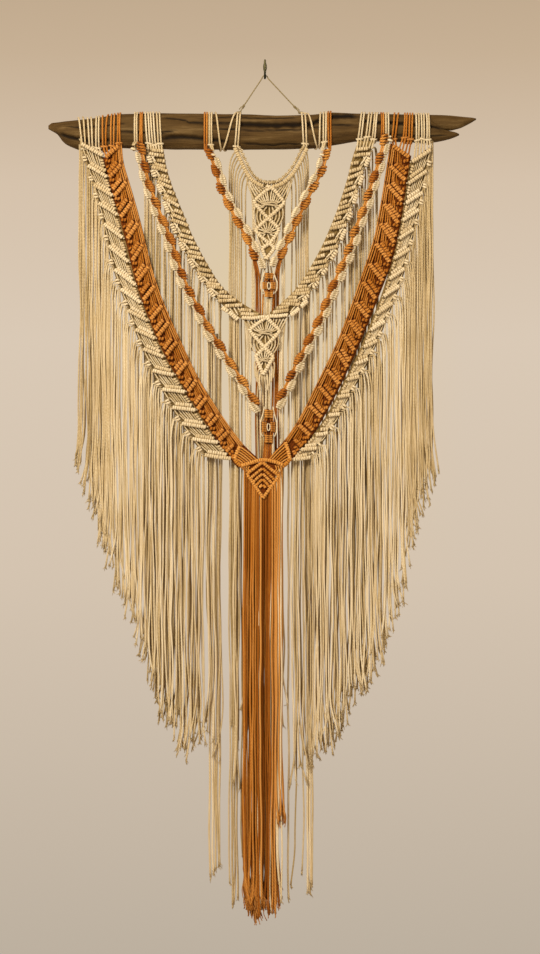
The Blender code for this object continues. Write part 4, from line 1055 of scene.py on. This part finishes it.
def make_chevron_column(knots):
    """The join at the band's point and the two diamonds below it."""
    out = BAND_OUT + 1.0
    for run, lift in zip(CHEVRON_RUNS, (0.8, -0.4)):
        bar = [(x, drop, lift if drop < 480 else -lift) for x, drop in run]
        hitched(knots, bar, out, CHEVRON_COLUMN, tone=0.85)
    for bar in JOIN_BARS:
        hitched(knots, bar, out + 0.3, CHEVRON)
    for bar in JOIN_COILS:
        hitched(knots, bar, out + 0.5, JOIN_COIL, tone=0.85)
    for cord in JOIN_CORDS:
        knots.line(cord, out - 2.5, 1.5, 5.0, tone=0.8, crevice=0.6)
    upper, lower = CHEVRON_DIAMONDS
    rayed_knot(knots, upper, out, (0.9, 469.5), 11.5, 3.0, 11, 7)
    rayed_knot(knots, lower, out, (-1.5, 517), 7.2, 2.6, 7, 4)
    for outward, corner in ((-1, 1), (1, 2)):
        bows(knots, upper[corner], upper[3], lower[corner], out, 4, outward, 6.5)
        side, foot = np.array([lower[corner], lower[3]])
        for k in range(4):
            start = side + (foot - side) * (0.08 + 0.24 * k)
            tail = [start, start + (outward * 4.0, 10), (start[0] * 0.9 + outward * 3.5, start[1] + 34)]
            knots.line(tail, out - 2.5, 1.5, tone=(0.4, 0.85))
    behind(knots, CHEVRON_WIDTHS, 9, out - 6.5)
    fan(knots, np.linspace((-36, 449.5), (-7, 449), 6), np.linspace((-28, 464), (-4, 449), 6), out - 1.5)
    fan(knots, np.linspace((38, 444.5), (10, 446), 6), np.linspace((27.5, 464), (9, 452), 6), out - 1.5)


# Sinnets and flowers


def at_drops(path, drops):
    """The points of a path at some drops, straight on past its ends."""
    levels = -path[:, 2]
    order = np.argsort(levels)
    points = columns_at(drops, levels[order], path[order])
    points[:, 2] = -np.asarray(drops, float)
    return points


def sinnet(rust, cream, route, lumps, cream_side, lean_side):
    """Lumps of half hitches tied in turn in one colour and the other, with the cords that run between
    them."""
    rng = rust.rng
    path = smooth([at(x, drop, SINNET_OUT + lean(drop)) for x, drop in route], 4.0)
    first, last, count = lumps
    step = (last - first) / (count - 1)
    sideways = RIGHT * cream_side
    slant = min(1.0, step / 29.0)
    for k in range(count):
        drop = first + k * step + rng.normal(0, 0.8)
        half = rng.uniform(9.3, 10.3) * slant
        run = at_drops(path, np.linspace(drop - half, drop + half, 5)) - sideways * 1.8
        wraps(rust, run, RUST_LUMP, tone=(0.25, 0.95), slope=lean_side * 2.2, swell=0.65, pairs=0.0,
              slit=-cream_side * 0.62)
        if k < count - 1:
            drops = np.linspace(drop + half * 0.7, drop + step - half * 0.7, 5)
            join = at_drops(path, drops) - sideways * 1.5
            for shift in (-1.7, 1.7):
                rust.tube(join + RIGHT * shift + FRONT * 0.3 * shift, 1.8, tone=(0.6, 1.0), crevice=0.6)
    for k in range(count):
        drop = first + (k + 0.5) * step
        if drop + 10 > last + step * 0.9:
            break
        grown = min(1.0, 0.62 + 0.4 * (drop - 130) / 200)
        half = rng.uniform(8.2, 9.4) * slant
        run = at_drops(path, np.linspace(drop - half, drop + half, 5)) + sideways * (4.4 + 2.8 * grown)
        wraps(cream, run, Winding(4.3 * grown, 3.0, 2.2, 3.5), tone=(0.95, 1.0), slope=lean_side * 1.0,
              swell=0.75,
              pairs=0.0, slit=cream_side * 0.15)
        below = np.linspace(drop + half * 0.8, min(last + 8, drop + step - half * 0.8), 6)
        bow = np.sin(np.linspace(0, np.pi, 6))[:, None] * sideways * 0.8
        for shift, lift in ((0.0, 0.4), (1.4, -0.4)):
            join = at_drops(path, below) + sideways * (6.2 + shift)
            cream.tube(join + bow + FRONT * lift, 1.35, tone=(0.85, 1.0), crevice=0.8)


def square_knot(yarn, left, right, top, bottom, out, cord=1.9):
    """The level turns of a square knot between two x and two drops."""
    x = (left + right) / 2
    turns = max(2, round((bottom - top) / 4.2))
    winding = Winding((right - left) / 2 - cord, 2.6, cord, (bottom - top - 3.2) / turns, 0.3)
    wraps(yarn, [at(x, top + 1.6, out), at(x, bottom - 1.6, out)], winding, tone=(0.7, 1.0), pairs=0.0,
          slit=0.0)


def flower(rust, cream, x, top, bottom):
    """Four square knots round a hole, with cream cords looped through it."""
    out = SINNET_OUT + 1.0

    def level(share):
        return top + (bottom - top) * share

    square_knot(rust, x - 8.0, x + 8.6, level(0.0), level(0.29), out + 1)
    square_knot(rust, x - 8.2, x + 8.2, level(0.72), level(1.0), out + 1)
    # Dark cords behind the hole: painted shade.
    for shift in (-3, 0, 3):
        rust.line([(x + shift, level(0.26)), (x + shift, level(0.76))], out - 4.5, 3.2, tone=0.0, crevice=1.5)
    ring = [(x + 2.6 * math.sin(turn), level(0.52) - 6.4 * math.cos(turn), 1.0)
            for turn in np.linspace(0.5, 6.1, 14)]
    cream.line(ring, out, 1.05, 2.0, tone=1.0)
    for outward in (-1, 1):
        near, far = x + outward * 2.6, x + outward * 12.2
        square_knot(rust, min(near, far), max(near, far), level(0.35), level(0.69), out)
        loop = [(x + outward * away, level(share), lift) for away, share, lift in FLOWER_LOOP]
        cream.line(loop, out, 1.3, 2.5, tone=0.85)
        for shift in (4.0, 8.0):
            for inner, high, outer, low in ((0.7, 0.24, 1.0, 0.37), (1.0, 0.66, 0.8, 0.78)):
                ends = [(x + outward * shift * inner, level(high), -0.5),
                        (x + outward * shift * outer, level(low), -0.5)]
                rust.line(ends, out, 1.5, 3.0, tone=0.4, crevice=0.6)


def make_sinnet(name, routes, lumps, pairs, shape, tails, tails_out, cream_side, slots, seed):
    rng = np.random.default_rng(seed)
    yarns = {"rust": Yarn(rng), "cream": Yarn(rng)}
    rust, cream = yarns.values()
    x, top, bottom, tails_to = shape
    for route, own_lumps, inward, side_pairs in zip(routes, lumps, (1, -1), pairs):
        sinnet(rust, cream, [*route, (x - inward * 4.5, top + 3)], own_lumps, cream_side * inward, -inward)
        for pair, colour in side_pairs:
            shift = 0.0 if colour == "rust" else cream_side * inward * 4.5
            low_drop = own_lumps[0] - 6
            low = at((pair[2] + pair[3]) / 2 + shift, low_drop, SINNET_OUT + lean(low_drop))
            lark_head(yarns[colour], pair, [low - RIGHT, low + RIGHT], roll=colour == "cream")
            if colour == "cream":
                coil(cream, low - UP * 4, low - UP * 9, SINNET_COIL, tone=0.9)
    flower(rust, cream, x, top, bottom)
    for colour, tail_x, root_x, root_drop in tails:
        low = at(root_x, root_drop, SINNET_OUT - 1)
        middle = at(0.15 * root_x + 0.85 * tail_x, root_drop + 26, (SINNET_OUT + tails_out) / 2 + 4)
        hem, out = tails_to + rng.normal(0, 10), tails_out + rng.uniform(-1, 1)
        hanging(yarns[colour], [low, middle], tail_x, hem, out, tip=rng.normal(0, 3), sway=1.0, drop_in=24.0)
    for colour, yarn in yarns.items():
        piece = yarn.made(f"{name}_{colour}", slots[colour], f"{colour}_cotton")
        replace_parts(piece, name)


# Necklace


def make_necklace(cotton):
    rng = np.random.default_rng(61)
    yarn = Yarn(rng)
    out = BAND_OUT + 1.0
    line = in_front(NECKLACE_U, out, 3.0)
    along = unit(np.gradient(line, axis=0))
    inward = -np.cross(along, FRONT)
    inward *= np.sign(inward[len(inward) // 2][2])
    wraps(yarn, (line + inward * 3.4)[::3], NECKLACE_INNER)
    low = int(np.argmax(-line[:, 2]))
    outer_row = line - inward * 3.6
    for half in (outer_row[:low - 1:3], outer_row[-1:low + 1:-3]):
        wraps(yarn, half + FRONT, NECKLACE_OUTER, tone=0.45)
    for k in range(3, len(line) - 3, 3):
        base = line[k] + inward[k] * 5.4 + rng.normal(0, 0.3, 3)
        bump = [base - along[k] * 1.9, base + inward[k] * 1.3 + FRONT * 0.5, base + along[k] * 1.5]
        yarn.tube(smooth(bump, 1.5), 1.05, tone=0.8, crevice=0.8)
    for run, lift in zip(NECKLACE_RUNS, (0.8, -0.4)):
        bar = [(x, drop, -lift if 258 <= drop < 300 else lift) for x, drop in run]
        hitched(yarn, bar, out, NECKLACE_COLUMN, tone=0.8)
    for pair, end in zip(NECKLACE_PAIRS, (line[0], line[-1])):
        lark_head(yarn, pair, [end - RIGHT * 2, end + RIGHT * 2])
    upper, lower = NECKLACE_DIAMONDS
    rayed_knot(yarn, upper, out, (7.9, 245), 14.0, 3.0, 12, 7)
    rayed_knot(yarn, lower, out, (4.6, 293), 7.4, 2.6, 8, 5)
    for outward, corner in ((-1, 1), (1, 2)):
        bows(yarn, upper[corner], upper[3], lower[corner], out, 4, outward, 6.0)
        bows(yarn, lower[corner], lower[3], (4.5 + outward * 9.5, 324), out, 3, outward, 4.0)
    fan(yarn, NECKLACE_FAN_STARTS, NECKLACE_FAN_ENDS, out - 1.5, bulge=-1.5)
    starts, ends = (np.array(points) * (-1, 1) + (16, 0)
                    for points in (NECKLACE_FAN_STARTS, NECKLACE_FAN_ENDS))
    fan(yarn, starts, ends + (0, 1), out - 1.5, bulge=1.5)
    for x in (-24, -21, 34, 37.5):
        hanging(yarn, [at(x, 216, out - 2)], x * 0.9, 500, NECKLACE_STRANDS_OUT + 8, sway=1.0, fray=False)
    roots = line - inward * 4.5
    for row, xs in zip((roots[:low], roots[low:][::-1]), NECKLACE_STRAND_XS):
        for k, x in enumerate(xs):
            root = row[np.argmin(np.abs(-row[:, 2] - (152 + 6.6 * k)))]
            _, near, drop = root * (1, -1, -1)
            starts = [
                root, at(0.6 * root[0] + 0.4 * x, drop + 6, near - 0.5),
                at(0.2 * root[0] + 0.8 * x, drop + 15, near - 5),
                at(x, drop + 28, near - 8),
            ]
            end = (1180 if k % 3 else 1440) + rng.normal(0, 25)
            # These strands hang behind the rows: their dark tones and long dark tops are painted shade.
            strand_out, tone = NECKLACE_STRANDS_OUT + rng.uniform(-1.5, 2.0), rng.uniform(0.0, 0.45)
            hanging(yarn, starts, x, end, strand_out, drop_in=40, sway=1.2, radius=1.5, tone=tone,
                    shadow=26.0)
    behind(yarn, NECKLACE_WIDTHS, 9, out - 6.5)
    centre_strands(yarn, (2.5, 340), NECKLACE_STRANDS_OUT, 4, TASSEL_END - 40)
    for x, count, end in ((-88, 5, 1421), (-53, 3, 1470), (41, 1, 1459), (78, 3, 1447)):
        for k in range(count):
            place_x = x + 4.2 * (k - (count - 1) / 2)
            root = at(place_x, 470 if abs(x) > 60 else 440, NECKLACE_STRANDS_OUT + 2)
            strand_out, tip = NECKLACE_STRANDS_OUT + rng.uniform(-1, 1), rng.normal(0, 1.5)
            hanging(yarn, [root], place_x, end - 6 * k, strand_out, tip=tip, sway=0.8, radius=2.0)
    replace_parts(yarn.made("necklace_cords", cotton, "cream_cotton"), "necklace")


# Branch, hook and hanging cord


def crack_depth(x, drop):
    """How deep the cracks cut in at a place on the front of the branch, and how much painted shade darkens
    them.
    """
    depth, dark = 0.0, 0.0
    for half_width, deepest, points in CRACKS:
        xs, drops = zip(*points)
        if not xs[0] < x < xs[-1]:
            continue
        line = np.interp(x, xs, drops) + 1.4 * noise.noise(Vector((x * 0.06, 0, half_width)))
        taper = min(1.0, (x - xs[0]) / 14, (xs[-1] - x) / 14)
        uneven = 1 + 0.35 * noise.noise(Vector((x * 0.11, 3, half_width)))
        wide = half_width * (0.45 + 0.55 * taper) * uneven
        near = math.exp(-(((drop - line) / wide) ** 2)) * taper
        depth = max(depth, deepest * near)
        dark = max(dark, near)
    return depth, dark


def wood_log(rows, cracked, around=84, spacing=2.6):
    """Rings of points along one limb of the branch, with its lumps and cracks, and the painted crack shade at
    each point.
    """
    table = np.array(rows, float)
    xs = np.linspace(table[0, 0], table[-1, 0], int((table[-1, 0] - table[0, 0]) / spacing))
    padded = np.pad(columns_at(xs, table[:, 0], table[:, 1:]), ((1, 1), (0, 0)), mode="edge")
    soft = [np.convolve(column, np.ones(3) / 3, mode="valid") for column in padded.T]
    rings, crack_shades = [], []
    for x, top, bottom, half_depth in zip(xs, *soft):
        for angle in 2 * math.pi * np.arange(around) / around:
            bump = 1.0
            for size, stretch, turns, shift in WOOD_LUMPS:
                place = (x * stretch, turns * math.cos(angle), turns * math.sin(angle) + shift)
                bump += size * noise.noise(Vector(place))
            drop = (top + bottom) / 2 - (bottom - top) / 2 * bump * math.cos(angle)
            reach = half_depth * bump
            dark = 0.0
            if cracked and math.sin(angle) > 0.1:
                cut, dark = crack_depth(x, drop)
                reach -= min(cut, half_depth * 0.7)
            rings.append(at(x, drop, BRANCH_OUT + reach * math.sin(angle)))
            crack_shades.append(dark)
    return rings, crack_shades, len(xs)


def make_branch(finish, around=84):
    points, faces, crack_shades = [], [], []
    for rows, cracked in ((BRANCH, True), (RIGHT_PRONG, False)):
        base = len(points)
        rings, dark, count = wood_log(rows, cracked, around)
        points += rings
        crack_shades += dark
        for start in range(base, base + (count - 1) * around, around):
            for k in range(around):
                k_after = (k + 1) % around
                faces.append([start + k, start + around + k, start + around + k_after, start + k_after])
        faces.append(list(range(base, base + around)))
        faces.append(list(range(base + count * around - 1, base + (count - 1) * around - 1, -1)))
    mesh = bpy.data.meshes.new("branch")
    mesh.from_pydata(np.array(points) * MM, [], faces)
    mesh.attributes.new("crack_shade", "FLOAT", "POINT").data.foreach_set("value", np.array(crack_shades, np.float32))
    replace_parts(piece_of("branch", mesh, finish), "driftwood_branch")


def make_hook(finish):
    yarn = Yarn()
    path = smooth([at(0, drop, out) for out, drop in HOOK_BEND], 1.2)
    thick = np.full(len(path), HOOK_WIRE)
    thick[-3:] = (1.8, 1.4, 0.7)
    yarn.tube(path, thick, sides=12, side=RIGHT)
    plate = [at(0, 0, out) for out in (0.0, 0.4, PLATE_THICKNESS - 0.4, PLATE_THICKNESS)]
    half = PLATE_HALF_HEIGHT
    yarn.tube(plate, [half - 0.4, half, half, half - 0.6], sides=32, side=UP)
    yarn.points[-1][:, 0] *= PLATE_HALF_WIDTH / half
    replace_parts(yarn.made("hook", finish, "hook_metal"), "wall_hook")


def make_hanger(cotton, thin_cotton):
    rng = np.random.default_rng(71)
    ties, yarn = Yarn(rng), Yarn(rng)
    for points, pair, top_x in ((HANGER_LEFT, TIES[0], TIES[0][1]), (HANGER_RIGHT, TIES[1], TIES[1][0])):
        outward = np.sign(points[-1][0])
        rise = BRANCH_OUT - 4 - HANGER_OUT
        path = np.array([at(x, drop, HANGER_OUT + rise * max(0.0, (drop - 60) / 25)) for x, drop in points])
        knot, end = path[3:]
        runs = [smooth(path[:3], 1.5), part_of(path[2:4], 0, 1, 12), part_of(path[3:], 0, 1, 12)]
        yarn.tube(np.vstack([run[:-1] for run in runs] + [end]), HANGER_RADIUS)
        way = unit(end - knot)
        wraps(yarn, [knot - way * 2.5, knot + way * 3.5], HANGER_KNOT, tone=0.4)
        knot_lump(yarn, end, 2.8, tone=0.6)
        for loose in ([knot + way * 2, knot + at(outward * 4, 1.5, 1), knot + at(outward * 8, 6, 1)],
                      [end, end + at(outward * 4, -1.0, 1), end + at(outward * 8, 1.5, 1)]):
            yarn.tube(smooth(loose, 2.0), 0.9, sides=5, tone=0.6)
        wrapped_pair(ties, pair, roll_angle=math.radians(158))
        ties.tube(smooth([end, wrap_point(top_x, 0, CORD + 0.6)], 3.0), 1.4, tone=0.6)
    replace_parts(ties.made("tie_cords", cotton, "cream_cotton"), "hanging_cord")
    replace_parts(yarn.made("hanger_cord", thin_cotton, "cream_cotton"), "hanging_cord")


# Materials


class Nodes:
    """The node tree of a material or a world, with short calls to add and join nodes."""

    def __init__(self, owner):
        owner.use_nodes = True
        self.owner = owner
        self.tree = owner.node_tree
        self.where = self.add("ShaderNodeTexCoord").outputs

    def add(self, kind, inputs=None, **settings):
        node = self.tree.nodes.new(kind)
        for key, value in settings.items():
            setattr(node, key, value)
        for key, value in (inputs or {}).items():
            self.put(node.inputs[key], value)
        return node

    def put(self, socket, value):
        if isinstance(value, bpy.types.NodeSocket):
            self.tree.links.new(value, socket)
        else:
            socket.default_value = value

    def math(self, operation, *values, clamp=False):
        return self.add("ShaderNodeMath", dict(enumerate(values)), operation=operation,
                        use_clamp=clamp).outputs[0]

    def times(self, first, second):
        return self.math("MULTIPLY", first, second)

    def mix(self, share, first, second):
        return self.add("ShaderNodeMix", {0: share, 6: first, 7: second}, data_type="RGBA").outputs[2]

    def noise(self, scale, detail, vector=None, **more):
        vector = self.where["Object"] if vector is None else vector
        return self.add("ShaderNodeTexNoise",
                        {"Vector": vector, "Scale": scale, "Detail": detail, **more}).outputs[0]

    def stretched(self, scale):
        return self.add("ShaderNodeMapping", {"Vector": self.where["Object"], "Scale": scale}).outputs[0]

    def parts(self, vector):
        return self.add("ShaderNodeSeparateXYZ", {0: vector}).outputs

    def ramp(self, value, stops):
        node = self.add("ShaderNodeValToRGB", {0: value})
        elements = node.color_ramp.elements
        while len(elements) < len(stops):
            elements.new(0.5)
        for element, (spot, colour) in zip(elements, stops):
            element.position = spot
            element.color = (*colour, 1.0)
        return node.outputs[0]

    def finish(self, colour, height=None, bump=(), **inputs):
        """Sets the shader: its colour, a bump from a height with a strength and a distance, and plain
        numbers."""
        shader = self.tree.nodes["Principled BSDF"]
        self.put(shader.inputs["Base Color"], colour)
        if height is not None:
            relief = self.add("ShaderNodeBump", {"Height": height, "Strength": bump[0], "Distance": bump[1]})
            self.put(shader.inputs["Normal"], relief.outputs[0])
        for name, value in inputs.items():
            self.put(shader.inputs[name.replace("_", " ")], value)
        return self.owner


def cotton_material(name, dark, middle, light, groove_shade):
    """Twisted cotton cord: three plies that wind round it, fine fibres, a tone of its own for each cord, and
    painted shade in the grooves between the plies and where cords press on each other."""
    nodes = Nodes(bpy.data.materials.new(name))
    around, along, _ = nodes.parts(nodes.add("ShaderNodeUVMap", uv_map="Ply").outputs[0])
    own_tone, crevice, _ = nodes.parts(nodes.add("ShaderNodeUVMap", uv_map="Strand").outputs[0])
    turns = nodes.math("MULTIPLY_ADD", along, 1.0 / PLY_PITCH, nodes.times(around, 3.0))
    wave = nodes.math("SINE", nodes.times(turns, 2 * math.pi))
    ridge = nodes.math("MULTIPLY_ADD", wave, 0.5, 0.5)
    patches, grain, fibres = nodes.noise(14.0, 3.0), nodes.noise(330.0, 2.0), nodes.noise(1100.0, 2.0)
    tone = nodes.math("MULTIPLY_ADD", own_tone, 0.62, nodes.times(patches, 0.38))
    tone = nodes.math("ADD", tone, nodes.times(nodes.math("SUBTRACT", grain, 0.5), 0.5))
    colour = nodes.ramp(tone, [(0.20, dark), (0.48, middle), (0.80, light)])
    # Painted shade in the grooves between the plies.
    ply_groove_shade = nodes.times(nodes.math("POWER", nodes.math("SUBTRACT", 1.0, ridge), 1.6), 0.55)
    ply_shaded_colour = nodes.mix(ply_groove_shade, colour, (*groove_shade, 1.0))
    # Painted shade that grows from a cord's front, where its map starts, to its sides and back, as strong as
    # the second number of the Strand map; high values darken the whole cord.
    away = nodes.math("COSINE", nodes.times(around, 2 * math.pi))
    side_shade = nodes.math("MULTIPLY_ADD", away, -0.75, 0.70, clamp=True)
    hidden_shade = nodes.math("MULTIPLY_ADD", crevice, 1.1, -0.65, clamp=True)
    contact_shade = nodes.math("MULTIPLY_ADD", side_shade, crevice, hidden_shade, clamp=True)
    contact_shaded_colour = nodes.mix(contact_shade, ply_shaded_colour, (*(0.70 * c for c in groove_shade), 1.0))
    height = nodes.math("ADD", nodes.times(ridge, 0.8), nodes.times(fibres, 0.35))
    return nodes.finish(contact_shaded_colour, height, (0.7, 0.0008), Roughness=0.88, Specular_IOR_Level=0.1,
                        Sheen_Weight=0.05, Sheen_Roughness=0.5)


def wood_material():
    """Weathered driftwood: brown with olive and purplish streaks along the grain, and painted shade, nearly
    black, in the cracks."""
    nodes = Nodes(bpy.data.materials.new("weathered_wood"))
    streaks = nodes.noise(2.0, 6.0, nodes.stretched((5.0, 45.0, 45.0)), Roughness=0.62)
    grain = nodes.noise(2.0, 4.0, nodes.stretched((14.0, 260.0, 260.0)))
    tinted = nodes.mix(nodes.times(nodes.noise(11.0, 3.0), 0.45), nodes.ramp(streaks, WOOD_TONES),
                       (0.095, 0.060, 0.018, 1.0))
    thin = nodes.math("MULTIPLY", nodes.math("SUBTRACT", 0.50, grain), 1.2, clamp=True)
    lined = nodes.mix(thin, tinted, (0.014, 0.007, 0.003, 1.0))
    crack_shade = nodes.add("ShaderNodeAttribute", attribute_name="crack_shade").outputs["Fac"]
    # Painted shade, nearly black, in the cracks.
    dark = nodes.mix(nodes.math("POWER", crack_shade, 0.75), lined, (0.006, 0.003, 0.001, 1.0))
    height = nodes.math("ADD", nodes.times(streaks, 0.9), nodes.times(grain, 0.5))
    return nodes.finish(dark, height, (0.9, 0.0024), Roughness=0.75, Specular_IOR_Level=0.12)


def brass_material():
    """Aged brass, spotted, and darker towards the hook's bend."""
    nodes = Nodes(bpy.data.materials.new("aged_brass"))
    spots = nodes.noise(260.0, 4.0)
    height = nodes.parts(nodes.where["Object"])[2]
    low = nodes.math("MULTIPLY", nodes.math("ADD", height, 0.004), -70.0, clamp=True)
    worn = nodes.ramp(spots, [(0.35, (0.035, 0.036, 0.017)), (0.65, (0.15, 0.13, 0.055))])
    rough = nodes.math("MULTIPLY_ADD", spots, 0.3, 0.3)
    return nodes.finish(nodes.mix(low, worn, (0.03, 0.035, 0.02, 1.0)), Roughness=rough, Metallic=0.9)


def floor_material(colour):
    nodes = Nodes(bpy.data.materials.new("pale_floor"))
    mottled = nodes.mix(nodes.noise(30.0, 2.0), (*colour, 1.0), (*(0.94 * c for c in colour), 1.0))
    return nodes.finish(mottled, Roughness=0.9)


# Camera, light and floor


def make_camera():
    data = bpy.data.cameras.new("camera")
    data.sensor_fit = "VERTICAL"
    data.sensor_height = data.sensor_width = SENSOR
    data.lens = LENS
    data.clip_end = 50
    camera = placed("camera", data)
    away = LENS / SENSOR * VIEW_MM_A_PIXEL * VIEW_HEIGHT_PIXELS
    camera.location = Vector(at(VIEW_X, VIEW_DROP, BAND_OUT + away)) * MM
    camera.rotation_euler = (math.pi / 2, 0, 0)
    bpy.context.scene.camera = camera


def area_light(name, place, target, size, power, colour):
    data = bpy.data.lights.new(name, "AREA")
    data.shape = "DISK"
    data.size = size
    data.energy = power
    data.color = colour
    light = placed(name, data)
    light.location = place
    light.rotation_euler = (Vector(target) - Vector(place)).to_track_quat("-Z", "Y").to_euler()


def make_room_light():
    """A plain room's light round the part, and a warmer patch high in front of the camera."""
    world = bpy.data.worlds.new("studio")
    nodes = Nodes(world)
    x, _, z = nodes.parts(nodes.where["Generated"])
    height = nodes.math("MULTIPLY_ADD", z, 3.5, 0.5)
    inward = nodes.math("MULTIPLY_ADD", nodes.math("ABSOLUTE", x), -22.0, 1.25, clamp=True)
    above = nodes.math("MULTIPLY_ADD", z, 9.0, 0.45, clamp=True)
    below_branch = nodes.math("MULTIPLY_ADD", z, -14.0, 1.75, clamp=True)
    patch = nodes.times(nodes.times(inward, above), below_branch)
    warm = nodes.mix(patch, nodes.ramp(height, WALL_LIGHT), (0.735, 0.59, 0.385, 1.0))
    nodes.put(nodes.tree.nodes["Background"].inputs[0], warm)
    bpy.context.scene.world = world


def make_stage():
    for light in LIGHTS:
        area_light(*light)
    make_room_light()
    mesh = bpy.data.meshes.new("floor")
    sides = ((-1, -1), (1, -1), (1, 1), (-1, 1))
    corners = [(x * FLOOR_HALF, y * FLOOR_HALF, FLOOR_HEIGHT) for x, y in sides]
    mesh.from_pydata(corners, [], [(0, 1, 2, 3)])
    mesh.materials.append(floor_material((0.62, 0.53, 0.42)))
    placed("floor", mesh)
    bpy.context.scene.view_settings.view_transform = "Standard"


# Run


def main():
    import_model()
    cotton = {name: cotton_material(name, *colours) for name, colours in COTTONS.items()}
    cream, rust = cotton["cream_cord"], cotton["rust_cord"]
    make_branch(wood_material())
    make_hook(brass_material())
    make_hanger(cream, cotton["hanger_cord"])
    make_outer_band("left", OUTER_BAND_LEFT, OUTER_MARKS_LEFT, OUTER_PAIRS_LEFT, LEFT_HEM, -1, cream, 11)
    make_outer_band("right", OUTER_BAND_RIGHT, OUTER_MARKS_RIGHT, OUTER_PAIRS_RIGHT, RIGHT_HEM, 1, cream, 12)
    make_rust_bands(rust)
    make_leaf(cotton["leaf_cord"])
    make_tassel(rust, cream)
    make_chevron_band(cream)
    slots = {"rust": cotton["sinnet_cord"], "cream": cream}
    for sinnet_parts, seed in ((INNER_SINNET, 51), (OUTER_SINNET, 52)):
        make_sinnet(*sinnet_parts, slots, seed)
    make_necklace(cream)
    make_camera()
    make_stage()


main()
